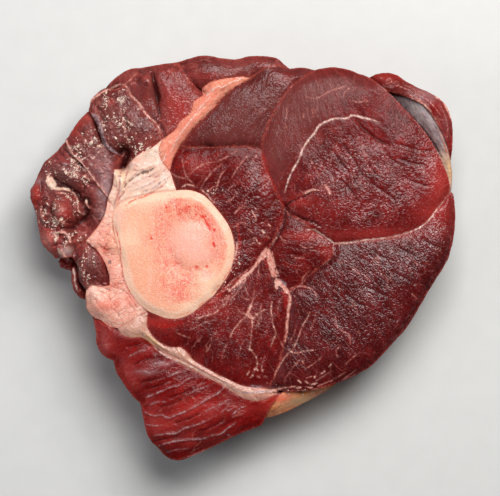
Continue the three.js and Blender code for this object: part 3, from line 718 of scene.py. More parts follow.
# painted shade in the slits, hollows, groove, folds and cleft of the torn meat
draw("shade_and_dark_grain", PLAIN, *top_slits)
draw("shade_and_dark_grain", WIDE, hollow_line, *fringe_hollows, top_groove)
draw("shade_and_dark_grain", FINE, *fringe_folds, side_cleft)
draw("cream", TENDON, fringe_tendon)
draw("cream", BROAD, fringe_tendon_tail, *tendon_bits)
draw("fat", FINE, *fringe_ropes)
draw("fat", BROAD, *fringe_coral)
draw("fat", FINE, *fringe_fat)
draw("white", FINE, ribbon_line)
draw("red", PLAIN, stub_red_line)
count_lines()

# %% [markdown]
# ## Folds and lumps
#
# A fold that is only painted shade looks flat as soon as the light moves. So the deep ones are
# also pressed into the mesh: each has a reach and a depth. Ridges stand up in the same way, and
# so do lumps. A lump is a soft oval, given by its middle in pixels, its two radii in millimetres
# and its height. The solids already hold the largest folds, and these add the sharper relief.

# %% Relief drawn on the cut face
folds = [
    (1.1, 0.8, lobe_deep_fold), (1.1, 0.7, shank_edge_fold), (1.4, 0.4, shank_top_fold),
    (1.0, 0.9, lobe_slits[1]), (1.0, 0.5, lobe_slits[0]), (0.9, 0.3, white_arc), (1.3, 0.5, wedge_fold),
    (2.4, 3.4, hollow_line), (2.2, 1.8, top_groove), (1.2, 0.6, fat_edge_line), (0.9, 0.4, lobe_lower_line),
    (2.4, 2.6, fringe_hollows[0]), (2.6, 3.0, fringe_hollows[1]), (3.4, 3.0, fringe_hollows[2]),
    *[(1.2, 1.1, fold) for fold in fringe_folds], (1.8, 2.6, side_cleft),
    *[(1.3, 1.5, slit) for slit in top_slits], *[(0.9, 0.35, crease) for crease in gristle_creases],
    *[(1.0, 0.45, stroke) for stroke in lobe_strokes], *[(1.0, 0.4, stroke) for stroke in outer_strokes],
    *[(1.0, 0.45, stroke) for stroke in heel_strokes], (1.0, 0.9, capsule_shaded_fold),
    *[(0.8, 0.35, line) for line in capsule_purple_lines + capsule_tan_lines],
    (1.2, 0.6, gristle_brown_band),
    (0.8, 0.4, sinew_red_line), (1.6, 1.0, membrane_shadow), (1.2, 0.5, saddle_seam),
]
ridges = [
    (2.4, 2.0, fringe_tendon), (1.2, 1.2, fringe_tendon_tail), (1.2, 0.5, upper_fat_streaks[0]),
    (1.6, 0.6, fringe_seam), (1.3, 0.5, saddle_outer_edge), (1.4, 0.5, membrane_edge),
    (1.2, 0.3, right_vein), (1.2, 0.3, v_left_arm), (1.4, 0.4, v_right_arm),
    *[(1.0, 0.35, line) for line in heel_lines], *[(0.9, 0.35, line) for line in capsule_fibres],
    *[(1.3, 1.3, rope) for rope in fringe_ropes], *[(1.6, 1.2, strand) for strand in fringe_coral],
    *[(0.9, 0.4, strand) for strand in flap_strands + flap_froth], (1.2, 0.5, flap_inner_edge),
]
lumps = [
    (61,211, 4.5,6.5, 2.6), (34,192, 2.6,6.5, 1.6), (46,238, 4,5.5, 2), (95,213, 4,9, 1.2),
    (62,171, 6,4, 1.2), (117,172, 4,3, 1.4), (66,252, 4,3, 1.2), (88,262, 6,9, 1), (96,240, 4,4, 1.2),
    (110,246, 4,4, 1.2), (113,270, 4.5,8, 1.2), (92,293, 5,5, 1.4), (108,306, 6,4, 1), (57,265, 4,3, 1),
    (125,306, 5,5, 0.9), (106,214, 3,6, 0.8), (146,80, 4,3, 1.2), (76,178, 5,3, 1.4), (72,222, 4,4, 1),
    (55,196, 5,2.4, 1.2), (83,238, 5,4, 1.3), (215,87, 5,3, 1), (190,118, 5,4, 0.8), (44,172, 4,3, 1.2),
    (184,128, 4,3, 0.7), (203,99, 4,3, 0.8), (165,162, 3,3, 0.7), (97,196, 5,6, 0.9),
]
fold_lines = [(reach, depth, smooth_line(on_face(line))) for reach, depth, line in folds]
ridge_lines = [(reach, -height, smooth_line(on_face(line))) for reach, height, line in ridges]


def soft_oval(places, x, y, across, down):
    """1 in the middle of an oval, which falls softly to 0 round it."""
    return np.exp(-(((places - on_face((x, y))) / (across, down)) ** 2).sum(1))


def drawn_relief(places):
    """How far drawn folds, ridges and lumps move each place of the cut face, in mm."""
    moved = np.zeros(len(places))
    for reach, depth, line in fold_lines + ridge_lines:
        span = 3 * reach
        near = ((places > line.min(0) - span) & (places < line.max(0) + span)).all(1)
        if near.any():
            away, _ = distance_to_line(places[near], line)
            moved[near] -= depth * np.exp(-(away / reach) ** 2)
    for *oval, height in lumps:
        moved += height * soft_oval(places, *oval)
    return moved


print("folds, ridges and lumps:", len(folds), len(ridges), len(lumps))

# %% [markdown]
# ## Patches of another tone
#
# One muscle is never one red. Where air reaches fresh meat it turns bright, and where it dries it
# turns brown. The pale patches are thin films of membrane in some places and painted sheen of
# wet meat in others. The saw also left bone dust on the upper left. These patches are soft
# ovals, given by their middle in pixels, their two radii in millimetres and their strength. Each
# kind but the dust becomes a value stored on the mesh.

# %% Soft patches
patches = {
    "bright": [
        (440,184, 8,24, 0.9), (432,214, 12,8, 0.6), (380,234, 34,4, 0.55), (305,236, 9,4, 0.7),
        (326,250, 6,4, 0.6), (300,202, 9,3, 0.6), (196,408, 14,7, 0.9), (165,424, 12,6, 0.5),
        (105,345, 7,12, 0.8), (128,380, 7,14, 0.7), (150,425, 7,14, 0.5), (182,112, 8,13, 1),
        (170,96, 8,9, 0.5), (196,166, 10,6, 0.55), (266,172, 4,14, 0.55), (205,311, 14,4, 0.7),
        (160,322, 12,4, 0.8), (213,300, 10,4, 0.5), (286,78, 6,4, 0.5), (240,318, 12,12, 0.25),
        (64,213, 5,8, 1), (34,194, 4,8, 0.7), (46,240, 6,7, 1), (58,264, 8,6, 0.9), (272,411, 8,5, 0.6),
        (205,76, 10,3, 0.4), (100,320, 8,8, 0.6), (240,408, 12,5, 0.4), (384,77, 9,3, 0.6),
        (437,118, 6,14, 0.35), (330,210, 20,10, 0.2), (60,158, 8,5, 0.5),
    ],
    "brown": [
        (298,112, 15,20, 0.9), (345,86, 30,8, 0.55), (318,96, 16,14, 0.5), (278,150, 7,16, 0.8),
        (242,108, 26,20, 0.7), (225,135, 20,8, 0.5), (120,118, 20,20, 0.8), (88,150, 12,10, 0.5),
        (62,182, 16,10, 0.4), (80,210, 6,12, 0.6), (130,66, 20,4, 0.3), (240,66, 30,5, 0.5),
        (96,262, 8,12, 0.6), (52,150, 10,8, 0.4), (154,95, 4,16, 0.6), (200,440, 24,8, 0.25),
        (406,92, 10,4, 0.5), (97,212, 6,12, 0.5),
    ],
    # pale patches: thin films of membrane, and painted sheen where wet meat looks pale
    "pale_film_and_sheen": [
        (147,372, 7,2, 0.4), (160,364, 7,2, 0.45), (128,330, 7,4, 0.5), (104,347, 3,7, 0.12),
        (100,165, 6,10, 0.4), (60,176, 12,10, 0.2), (425,98, 12,4, 0.1), (104,190, 3,6, 0.9),
        (430,92, 9,5, 0.5), (260,392, 12,3, 0.5), (107,182, 3,9, 0.9), (446,125, 4,12, 0.15),
        (66,252, 4,2.6, 1), (103,213, 3,5, 0.7), (38,181, 3,2, 0.6),
    ],
    "dust": [
        (114,95, 6,3, 0.8), (121,99, 4,3, 1), (108,104, 4,4, 0.7), (113,113, 4,4, 0.9),
        (124,118, 2.5,7, 0.7), (128,124, 3,3, 0.7), (116,124, 6,6, 0.3), (128,140, 10,6, 0.4),
        (141,152, 6,4, 0.7), (152,153, 5,4, 1), (148,140, 5,4, 0.4), (104,128, 4,4, 0.4),
        (92,142, 8,6, 0.4), (77,150, 3,4, 0.7), (74,168, 6,3.5, 1), (67,174, 3,2.5, 1), (78,175, 4,3, 0.8),
        (85,178, 3,6, 0.5), (58,196, 8,3, 0.5), (47,212, 5,5, 1), (50,205, 4,3, 0.7), (74,205, 3,5, 0.5),
        (58,222, 5,4, 0.9), (56,236, 2.5,4, 0.9), (62,242, 4,3, 0.5), (76,235, 5,3, 0.8),
        (82,266, 3,2.5, 1), (85,275, 3,3, 0.9), (88,255, 6,6, 0.4), (72,160, 4,2, 0.7), (46,168, 5,6, 0.4),
        (218,190, 9,4, 0.25), (226,292, 6,5, 0.3), (300,392, 20,4, 0.25), (140,320, 6,4, 0.3),
        (236,262, 4,8, 0.25),
    ],
    "wet": [
        (256,186, 6,16, 0.7), (310,255, 16,12, 0.25), (350,335, 30,20, 0.4), (335,300, 16,14, 0.4),
        (400,330, 20,16, 0.4), (275,100, 8,30, 0.15), (50,215, 12,30, 0.7), (85,150, 18,20, 0.4),
        (120,125, 24,24, 0.35), (90,262, 10,14, 0.6), (365,175, 30,22, 0.85), (350,215, 40,14, 0.85),
        (425,165, 14,24, 0.55), (330,160, 14,14, 0.7), (385,262, 34,16, 0.8), (432,236, 16,18, 0.9),
        (380,300, 26,16, 0.5), (252,214, 8,14, 0.85), (243,258, 7,14, 1), (225,200, 10,12, 0.2),
        (245,330, 26,26, 0.35), (210,312, 16,8, 0.5), (160,376, 14,8, 0.3), (196,402, 10,6, 0.25),
        (345,92, 22,8, 0.1), (280,78, 10,6, 0.2), (232,194, 5,6, 0.5), (145,372, 12,6, 0.4),
        (64,213, 8,8, 0.6), (58,264, 8,6, 0.8), (420,90, 14,8, 0.5), (96,340, 8,14, 0.6),
        (180,112, 8,12, 0.4),
    ],
    "pink": [
        (227,242, 3,15, 0.5), (224,268, 4,8, 0.4), (215,208, 5,6, 0.4), (188,194, 14,3, 0.5),
        (164,228, 6,8, 0.8), (166,250, 6,9, 0.75), (172,262, 10,6, 0.65), (178,203, 8,5, 0.8),
        (190,210, 8,4, 0.9), (182,214, 7,4, 0.7), (212,232, 4,7, 0.95), (216,250, 3.5,7, 0.85),
        (208,222, 5,6, 0.7), (196,272, 9,3, 0.6), (184,282, 8,6, 0.8), (178,296, 8,5, 0.7),
        (165,285, 8,8, 0.45), (150,240, 5,5, 0.3), (160,212, 6,5, 0.4), (205,262, 4,3, 0.5),
        (112,270, 6,12, 0.5), (104,240, 6,10, 0.6), (106,306, 7,4, 0.9), (186,120, 7,12, 0.5),
        (205,96, 7,7, 0.6), (176,140, 5,7, 0.3), (282,398, 8,4, 0.8), (118,243, 3,5, 0.7),
        (130,300, 5,6, 0.7), (172,172, 3,7, 0.5), (134,162, 6,4, 0.5), (168,158, 3,7, 0.6),
    ],
    "blood": [
        (186,214, 9,3.5, 0.6), (176,212, 5,4, 0.4), (204,222, 5,6, 0.6), (214,242, 3,8, 0.4),
        (196,209, 4,2, 0.5), (177,262.5, 2.4,1.6, 0.9), (196.5,267, 1.8,1.4, 0.8),
        (152,237.5, 1.6,1.4, 0.6), (188,206, 2,1.6, 0.5), (166,207, 1.4,1.2, 0.5), (207,267, 1.4,1, 0.7),
        (105,249, 2,2, 0.8), (117,304, 2,4, 0.5), (280,400, 8,2.6, 0.7), (116,285, 6,2, 0.4),
        (118,200, 1.6,5, 0.5), (70,131, 4,3, 0.35), (76,124, 4,3, 0.35), (84,117, 4,3, 0.25),
        (48,240, 4,5, 0.25), (34,194, 2.4,6, 0.3), (111,102, 3,2, 0.3),
    ],
    "milk_and_highlight": [
        (190,236, 12,9, 0.85), (197,252, 10,7, 0.8), (205,258, 6,4, 0.5), (180,246, 6,8, 0.4),
        (148,163, 6,2, 0.8), (92,290, 3,3, 0.4), (134,164, 3,2, 0.7), (150,183, 9,4, 0.6),
        (132,186, 5,4, 0.4), (120,216, 5,6, 0.5), (207,276, 5,3, 0.5), (68,251, 3,3, 0.25),
        # the next two milk patches are painted highlight on round red lumps of the torn edge
        (46,240, 4,4, 0.2), (60,209, 3,4, 0.12),
    ],
    "yellow": [
        (208,286, 9,9, 0.8), (190,305, 12,4, 0.7), (444,158, 3,6, 0.4), (128,238, 9,10, 0.6),
        (152,200, 9,5, 0.9), (118,218, 4,8, 0.3), (300,402, 16,3, 0.9), (155,340, 12,4, 0.7),
        (122,180, 5,6, 0.5), (452,168, 3,12, 0.9),
    ],
}


def patch_value(kind, places):
    """How strongly each place lies in the patches of a kind, from 0 to 1."""
    clear = np.ones(len(places))
    for *oval, strength in patches[kind]:
        clear *= 1 - strength * soft_oval(places, *oval)
    return 1 - clear


PATCH_TONES = [kind for kind in patches if kind != "dust"]  # the dust is laid as real crumbs
print("patches:", {kind: len(ovals) for kind, ovals in patches.items()})

# %% [markdown]
# ## The way the fibres run
#
# Muscle fibres run from one point of the muscle to another, like the ribs of a fan, and the
# knife crosses each fan at its own slant. For every piece one focus is chosen, and the fibres
# run straight away from it. The mesh stores a place along and across the fan, in millimetres.
# A pattern that is stretched along it then follows the fibres round every muscle.

# %% A focus for the fibres of each piece, in pixels of the photograph
fibre_focus = {
    "round_lobe": (300, 20), "outer_muscle": (-530, -780), "heart_muscle": (268, 150),
    "wedge_muscle": (200, 240), "shank_muscle": (150, 260), "crown_muscle": (-260, 980),
    "top_strip": (-300, 90), "top_muscle": (110, -150), "saddle_muscle": (60, -60),
    "flank_muscle": (10, 90), "torn_fringe": (120, 210), "under_slab": (-100, 260),
    "stub_muscle": (80, 120), "side_ribbon": (76, 100), "heel_muscle": (-730, 800), "flap": (330, 20),
    "silver_skin": (330, -60), "joint_capsule": (-600, 760), "gristle": (240, 250),
    "upper_fat_seam": (-640, 900), "lower_sinew_seam": (-500, -200), "edge_fat": (-300, 640),
    "femur": (100, -800), "marrow": (100, -800),
}
fibre_middle = {
    node: rims[0].mean(0) / (PIXEL, -PIXEL) + PIXEL_CENTRE for node, rims in solid_rims.items()
}


def fan_places(node, places):
    """Each place as millimetres along and across the fan of fibres of a piece."""
    way = places - on_face(fibre_focus[node])
    reach = np.linalg.norm(way, axis=1)
    middle = on_face(fibre_middle[node])[0] - on_face(fibre_focus[node])[0]
    turn = np.arctan2(way[:, 1], way[:, 0]) - math.atan2(middle[1], middle[0])
    turn = (turn + math.pi) % (2 * math.pi) - math.pi
    return reach, turn * np.linalg.norm(middle)


print("fans of fibres:", len(fibre_focus))

# %% [markdown]
# ## Building a piece
#
# Each piece is a closed solid of its own: a fine cut face on top, walls that follow the solid's
# side, and the other cut face below. The top is a net of nearly even triangles, half a
# millimetre on a side, because the pattern of the meat lives in its points. The walls need
# far fewer.
#
# The solids keep a gap of 0.3 mm so that they never touch. Meat has no such gap, so here each
# piece grows by a little over half of it where it has a neighbour.

# %% Sizes of the fine mesh
FACE_NET = 0.55  # millimetres between the points of a cut face
RIM_NET = 0.9  # between the points of a rim
UNDER_NET = 1.7  # between the points of the underside
JITTER = 0.16  # share of the net by which its points stray, so no rows show
NET_CLEAR = 0.5  # share of the net that stays free beside a rim
GROW = 0.17  # millimetres by which a piece grows towards its neighbours
NEIGHBOUR_REACH = 1.3  # millimetres outside a rim where a neighbour is looked for
# the rows of points down a wall, as shares of its height: close together under the rim
WALL_ROWS = (0.985, 0.965, 0.935, 0.895, 0.84, 0.77, 0.68, 0.58, 0.47, 0.36, 0.25, 0.15, 0.07, 0.025, 0.0)
WIDEST = 46  # height in mm where the slice is widest
WALL_TAPER = 0.05  # share of the width lost from there to the underside
WALL_TUCK = 0.02  # and a little more where the wall curls under
TUCK_HEIGHT = 5  # in the lowest 5 mm
ON_WALL = 5  # millimetres within which a wall point is drawn to the solid's wall
EDGE_ROUGH = 0.35  # millimetres that the outer edge strays
EDGE_SIZE = 4  # and the length over which it does
WALL_ROUGH = 0.8  # millimetres that the outer wall swells and sinks
WALL_SIZE = (9, 14)  # and the size of a swell, along the rim and down
SWELL_START = 12  # the swells are whole a twelfth of the height below the rim
SWELL_END = 6  # and fade in the lowest 6 mm
WALL_STRAY = 0.5  # share of the rim's straying that the wall keeps
OPEN_STEP = 3  # every third point of the outer rim is enough to round it off


def width_at(height):
    """Share of its full width that the slice has at a height."""
    away = (height - WIDEST) / WIDEST
    tuck = np.clip(1 - height / TUCK_HEIGHT, 0, 1) ** 2
    return 1 - WALL_TAPER * away * away - WALL_TUCK * tuck


def outward(loop):
    """The level direction out of the meat at each point of a rim."""
    way = unit(np.roll(loop, -1, 0) - np.roll(loop, 1, 0))
    return np.stack([way[:, 1], -way[:, 0]], 1)


def has_neighbour(node, places):
    """True for each place that lies over another piece of the slice."""
    covered = np.zeros(len(places), bool)
    for other, rims in solid_rims.items():
        if other != node:
            covered |= is_inside(places, rims[0])
    return covered


def rim_distance(places, rims):
    """For each place, its distance to the nearest rim in mm, and the number of the rim's point there."""
    nearest = np.full(len(places), np.inf)
    number = np.zeros(len(places), int)
    start = 0
    for rim in rims:
        away, along = distance_to_line(places, rim, closed=True)
        nearer = away < nearest
        nearest[nearer] = away[nearer]
        number[nearer] = start + (along[nearer] * len(rim)).astype(int) % len(rim)
        start += len(rim)
    return nearest, number


def net_inside(rims, spacing, seed):
    """Points of an even, slightly strayed net inside the first rim and outside the others."""
    low, high = rims[0].min(0), rims[0].max(0)
    row_step = spacing * math.sqrt(0.75)
    rows = np.arange(low[1], high[1], row_step)
    columns = np.arange(low[0], high[0], spacing)
    x, y = np.meshgrid(columns, rows)
    x = x + (np.arange(len(rows)) % 2)[:, None] * spacing / 2
    places = np.stack([x.ravel(), y.ravel()], 1)
    places += np.random.default_rng(seed).uniform(-1, 1, places.shape) * JITTER * spacing
    keep = is_inside(places, rims[0])
    for hole in rims[1:]:
        keep &= ~is_inside(places, hole)
    places = places[keep]
    away, _ = rim_distance(places, rims)
    return places[away > spacing * NET_CLEAR]


def triangles_over(rims, inner):
    """Triangles over the rims and the inner points, counted in that order."""
    places = np.vstack(rims + [inner])
    edges = []
    start = 0
    for rim in rims:
        ring = list(range(start, start + len(rim)))
        edges += zip(ring, ring[1:] + ring[:1])
        start += len(rim)
    found, _, faces, origin, _, _ = delaunay_2d_cdt([Vector(p) for p in places], edges, [], 1, 1e-7)
    first = [ids[0] if ids else -1 for ids in origin]
    faces = np.array([[first[i] for i in face] for face in faces if len(face) == 3])
    faces = faces[(faces >= 0).all(1)]
    for hole in rims[1:]:
        faces = faces[~is_inside(places[faces].mean(1), hole)]
    return faces


print("the underside keeps", round(float(width_at(np.array(0.0))), 3), "of the width")

# %% [markdown]
# Two neighbours of unlike height would show a step at their seam, where most real ones are
# flush. So both bend to meet, and only loose and torn pieces keep their own height.

# %% Neighbours that meet at one height
LOOSE = {
    "saddle_muscle", "flank_muscle", "torn_fringe", "stub_muscle", "side_ribbon", "under_slab", "flap",
    "silver_skin", "edge_fat",
}
MEET = 0.85  # share of the step between two neighbours that is taken away
MEET_REACH = 3.0  # millimetres from the rim over which a piece bends to its neighbour
MEET_BLUR = 4  # rim points on each side that share one step


def meeting_shift(node, columns, beyond, rims):
    """How far each rim point moves up or down, in mm, so that two neighbours meet."""
    own = height_at(height_grids[node], columns)
    shift = np.zeros(len(columns))
    for other, other_rims in solid_rims.items():
        if other != node and not LOOSE & {node, other}:
            beside = is_inside(beyond, other_rims[0])
            if other == "femur":
                beside &= node == "marrow" or ~is_inside(beyond, solid_rims["marrow"][0])
            step = height_at(height_grids[other], columns[beside]) - own[beside]
            shift[beside] = step * MEET / 2
    start = 0
    for rim in rims:
        part = shift[start:start + len(rim)]
        turned = [np.roll(part, i) for i in range(-MEET_BLUR, MEET_BLUR + 1)]
        shift[start:start + len(rim)] = np.mean(turned, 0)
        start += len(rim)
    return shift


print("pieces that keep their own height at the rim:", len(LOOSE))

# %% [markdown]
# A piece could be the solid with a subdivision and a displacement, but its rim would stay
# coarse. So it is built anew: the net of the face takes the solid's height and the fine relief,
# rows of points go down the wall, and a coarser net closes the underside.

# %% One piece, from its cut face to its underside
SEAM_REACH = 0.9  # millimetres over which the cut face falls at its own rim
GRAIN_ACROSS = 2.2  # millimetres from one ripple of the fibres to the next
GRAIN_ALONG = 7  # and their length
RIPPLE_START = 1.5  # millimetres from the rim at which they are whole
SWELL = 0.45  # height of the slow unevenness that the saw left
SWELL_SIZE = 14  # and its size
CRUMPLE_SIZE = 6.5  # millimetres from one crease of torn meat to the next
CREASE = 0.22  # how near zero the noise has to be to make a crease
# the painted shade of a hollow darkens with its depth
HOLLOW_MOST = 4  # millimetres of depth beyond which a hollow grows no darker
OUTSIDE_ROUND = 1.2  # extra rounding of the outer edge, in mm
OUTSIDE_REACH = 3.5  # and its width


def face_relief(node, face, depth, seed, groove, ripple, crumple):
    """The height of the fine relief at each place of the cut face, in mm."""
    along, across = fan_places(node, face)
    ripples = np.stack([along / GRAIN_ALONG, across / GRAIN_ACROSS], 1)
    creases = np.clip(1 - np.abs(rough_noise(face, CRUMPLE_SIZE, seed + 21)) / CREASE, 0, 1)
    relief = drawn_relief(face) + SWELL * rough_noise(face, SWELL_SIZE, 77)
    relief += ripple * rough_noise(ripples, 1, seed + 9) * np.clip(depth / RIPPLE_START, 0, 1)
    relief -= crumple * creases + groove * np.exp(-(depth / SEAM_REACH) ** 2)
    return relief


def piece_mesh(node, groove, ripple, crumple, rough, seed):
    """The fine closed mesh of a piece, and what is known of each of its points."""
    rims = [round_off(rim, RIM_NET) for rim in solid_rims[node]]
    facing = np.vstack([outward(rim) for rim in rims])
    columns = np.vstack(rims)
    inner_wall = has_neighbour(node, columns + facing * NEIGHBOUR_REACH)
    shift = meeting_shift(node, columns, columns + facing * NEIGHBOUR_REACH, rims)
    stray = EDGE_ROUGH * rough * rough_noise(columns, EDGE_SIZE, seed + 5)
    columns = columns + facing * np.where(inner_wall, GROW, stray)[:, None]
    cuts = np.cumsum([len(rim) for rim in rims])[:-1]
    rims = np.split(columns, cuts)

    inner = net_inside(rims, FACE_NET, seed)
    face = np.vstack([columns, inner])
    own_depth, nearest = rim_distance(face, rims)
    depth = own_depth
    if node in ("femur", "marrow"):
        depth, _ = rim_distance(face, [round_off(solid_rims["femur"][0], RIM_NET)])
    relief = face_relief(node, face, depth, seed, groove, ripple, crumple)
    top = height_at(height_grids[node], face) + relief
    top += shift[nearest] * np.exp(-(own_depth / MEET_REACH) ** 2)
    open_rim = columns[~inner_wall][::OPEN_STEP]
    if len(open_rim):
        edge = np.concatenate([
            np.sqrt(((face[i:i + BATCH, None] - open_rim[None]) ** 2).sum(2).min(1))
            for i in range(0, len(face), BATCH)
        ])
        top -= OUTSIDE_ROUND * np.exp(-(edge / OUTSIDE_REACH) ** 2)

    count = len(columns)
    rim_height = top[:count]
    full = columns / width_at(rim_height)[:, None]
    wall, wall_sides, wall_down = [], [], []
    arc = np.concatenate([np.cumsum(np.linalg.norm(rim - np.roll(rim, 1, 0), axis=1)) for rim in rims])
    for share in WALL_ROWS:
        height = rim_height * share
        place = full * width_at(height)[:, None]
        for i in range(count):
            near, _, _, gap = solid_trees[node].find_nearest(Vector((*place[i], height[i])))
            if gap < ON_WALL:
                place[i] = near[:2]
        swell = WALL_ROUGH * rough * rough_noise(np.stack([arc, height], 1) / WALL_SIZE, 1, seed + 3)
        swell = swell * np.clip((1 - share) * SWELL_START, 0, 1) * np.clip(height / SWELL_END, 0, 1)
        place = place + facing * np.where(inner_wall, GROW, stray * WALL_STRAY + swell)[:, None]
        wall.append(np.column_stack([place, height]))
        wall_sides.append(np.column_stack([arc, height]))
        wall_down.append(np.where(inner_wall, 0.0, rim_height - height))
    foot = wall[-1][:, :2]
    foot_rims = np.split(foot, cuts)
    under = net_inside(foot_rims, UNDER_NET, seed + 1)
    under_depth, _ = rim_distance(under, foot_rims)

    floor_level = np.zeros(len(under))
    places = np.vstack([np.column_stack([face, top]), *wall, np.column_stack([under, floor_level])])
    top_faces = triangles_over(rims, inner)
    last = len(face) + count * (len(WALL_ROWS) - 1)
    under_faces = triangles_over(foot_rims, under)[:, ::-1].copy()
    under_faces = np.where(under_faces < count, under_faces + last, under_faces - count + last + count)
    quads = []
    start = 0
    for rim in rims:
        here = np.arange(len(rim)) + start
        after = np.roll(here, -1)
        above_here, above_after = here, after
        for row in range(len(WALL_ROWS)):
            offset = len(face) + row * count
            quads.append(np.stack([above_here, here + offset, after + offset, above_after], 1))
            above_here, above_after = here + offset, after + offset
        start += len(rim)
    quads = np.vstack(quads)

    mesh = bpy.data.meshes.new(node)
    mesh.from_pydata((places * MM).tolist(), [], top_faces.tolist() + quads.tolist() + under_faces.tolist())
    mesh.polygons.foreach_set("use_smooth", np.ones(len(mesh.polygons), bool))
    ends = np.zeros(len(mesh.edges) * 2, int)
    mesh.edges.foreach_get("vertices", ends)
    ends = ends.reshape(-1, 2)
    between = np.concatenate([inner_wall, np.zeros(len(places) - count, bool)])
    sharp = mesh.attributes.new("sharp_edge", "BOOLEAN", "EDGE")
    sharp.data.foreach_set("value", between[ends].all(1))

    rows = len(WALL_ROWS)
    unsqueezed = under / width_at(np.array(0.0))
    known = {
        "face": np.vstack([face, np.tile(columns, (rows, 1)), unsqueezed]),
        "rim": np.concatenate([depth, np.tile(depth[:count], rows), under_depth]),
        "skin": np.concatenate([
            np.zeros(len(face)), np.tile(np.where(inner_wall, 0.0, 1.0), rows), np.zeros(len(under)),
        ]),
        "side": np.vstack([np.zeros((len(face), 2)), *wall_sides, np.zeros((len(under), 2))]),
        # how deep a point lies in the relief, which the materials darken as painted shade
        "hollow_shade": np.concatenate([
            np.clip(-relief, 0, HOLLOW_MOST), np.zeros(count * rows), np.zeros(len(under)),
        ]),
        "height": places[:, 2],
        "down": np.concatenate([np.zeros(len(face)), *wall_down, np.zeros(len(under))]),
    }
    return mesh, known


print("rows down a wall:", len(WALL_ROWS))

# %% [markdown]
# ## Storing what the finish needs
#
# A procedural material can only use what the mesh tells it. So each point stores its distance
# to the nearest line of each kind, how far it is from its own rim, how strongly it lies in each
# patch, whether it is on the outer wall, how deep it lies in a hollow, which the materials
# darken as painted shade, and its place in the fan of fibres.

# %% Values on the points
LINE_FAR = 6.0  # millimetres beyond which a line no longer matters
TAPER = 0.12  # share of a line's length over which its ends grow thin
BEAD_MM = 3.0  # millimetres over which a line thickens and thins again
BEAD = 0.7  # and the share by which it does
WALL_APART = 97.0  # millimetres between two pieces' places in the pattern of the wall
WALL_FADE = 4.0  # millimetres down the outer wall over which patches fade


def line_value(kind, places):
    """The distance of each place, in mm, to the edge of the nearest line of a kind."""
    value = np.full(len(places), LINE_FAR)
    for number, (line, half_width) in enumerate(drawn[kind]):
        near = ((places > line.min(0) - LINE_FAR) & (places < line.max(0) + LINE_FAR)).all(1)
        if near.any():
            away, along = distance_to_line(places[near], line)
            ends = np.clip(np.minimum(along, 1 - along) / TAPER, 0.25, 1)
            length = np.linalg.norm(np.diff(line, axis=0), axis=1).sum()
            beads = rough_noise(np.column_stack([along * length, along * 0]), BEAD_MM, number, 2)
            value[near] = np.minimum(value[near], away - half_width * ends * (1 + BEAD * beads))
    return value


def store(mesh, name, values):
    if values.ndim == 2:
        attribute = mesh.attributes.new(name, "FLOAT_VECTOR", "POINT")
        attribute.data.foreach_set("vector", values.astype(np.float32).ravel())
    else:
        attribute = mesh.attributes.new(name, "FLOAT", "POINT")
        attribute.data.foreach_set("value", values.astype(np.float32))


def store_all(mesh, node, known):
    places = known["face"]
    for kind in drawn:
        store(mesh, kind, line_value(kind, places) + known["down"])
    for kind in PATCH_TONES:
        store(mesh, kind, patch_value(kind, places) * np.exp(-known["down"] / WALL_FADE))
    for name in ("rim", "skin", "hollow_shade"):
        store(mesh, name, known[name])
    along, across = fan_places(node, places)
    if node == "marrow":
        along, across = fan_places("femur", places)
    on_side = known["skin"][:, None] > 0
    fan = np.column_stack([along, across, known["height"]])
    apart = WALL_APART * list(fibre_focus).index(node)
    side = np.column_stack([known["side"] + (apart, 0), known["height"] * 0])
    store(mesh, "grain", np.where(on_side, side, fan))


print("values stored on each point:", len(drawn) + len(PATCH_TONES) + 4)

# %% [markdown]
# ## Two helpers for materials
#
# Colours are written as the sRGB hex values that a picture shows, and Blender works with
# linear light, so one function turns one into the other. It also takes two thirds of it, because
# the lamps below are strong, as they were for the photograph. That is what makes a wet highlight
# stand out from dark meat. A second function adds a node with its settings and links. Two more
# put what was made into the scene, and start a material.

# %% Colour and node helpers
ALBEDO = 0.65  # share of light that a surface shown as full white sends back


def paint(hex_colour):
    """The linear colour of a surface that the picture shows as this hex colour."""
    channels = [int(hex_colour[i:i + 2], 16) / 255 for i in (1, 3, 5)]
    linear = [c / 12.92 if c <= 0.04045 else ((c + 0.055) / 1.055) ** 2.4 for c in channels]
    return (*[ALBEDO * channel for channel in linear], 1.0)


def add(tree, kind, inputs=None, **settings):
    """Adds a shader node. Each input takes a value, or the node or output that feeds it."""
    made = tree.nodes.new("ShaderNode" + kind)
    for name, value in settings.items():
        setattr(made, name, value)
    for name, value in (inputs or {}).items():
        if isinstance(name, int):
            socket = made.inputs[name]
        else:
            socket = next(s for s in made.inputs if s.name == name and s.enabled)
        if isinstance(value, bpy.types.Node):
            value = next(s for s in value.outputs if s.enabled)
        if isinstance(value, bpy.types.NodeSocket):
            tree.links.new(value, socket)
        else:
            socket.default_value = value
    return made


def put_in_scene(name, data):
    made = bpy.data.objects.new(name, data)
    bpy.context.scene.collection.objects.link(made)
    return made


def new_material(name, *stored):
    """An empty material, its node tree, and the values that the mesh stores under these names."""
    material = bpy.data.materials.new(name)
    material.use_nodes = True
    tree = material.node_tree
    tree.nodes.clear()
    value = {kind: add(tree, "Attribute", attribute_name=kind).outputs["Fac"] for kind in stored}
    return material, tree, value


print("mid grey is", round(paint("#808080")[0], 3), "in linear light")

# %% [markdown]
# ## What all the tissues share
#
# A finish is a stack of thin layers, each a colour with its own share. First comes the tissue
# itself, then its patches, then the drawn lines. A line's stored distance is compared with
# zero, and noise moves that edge in and out, so that a vein thickens, thins and breaks as real
# ones do. Then the tissue is given its gloss: moist flesh has an IOR near 1.38, and the film
# of juice and fat on it, of IOR 1.42, is a clear coat of low roughness, which makes the small
# bright sparkles. Under such a film the tissue itself mirrors next to nothing, because its IOR
# is so close to that of the juice. So its own specular level is almost zero.

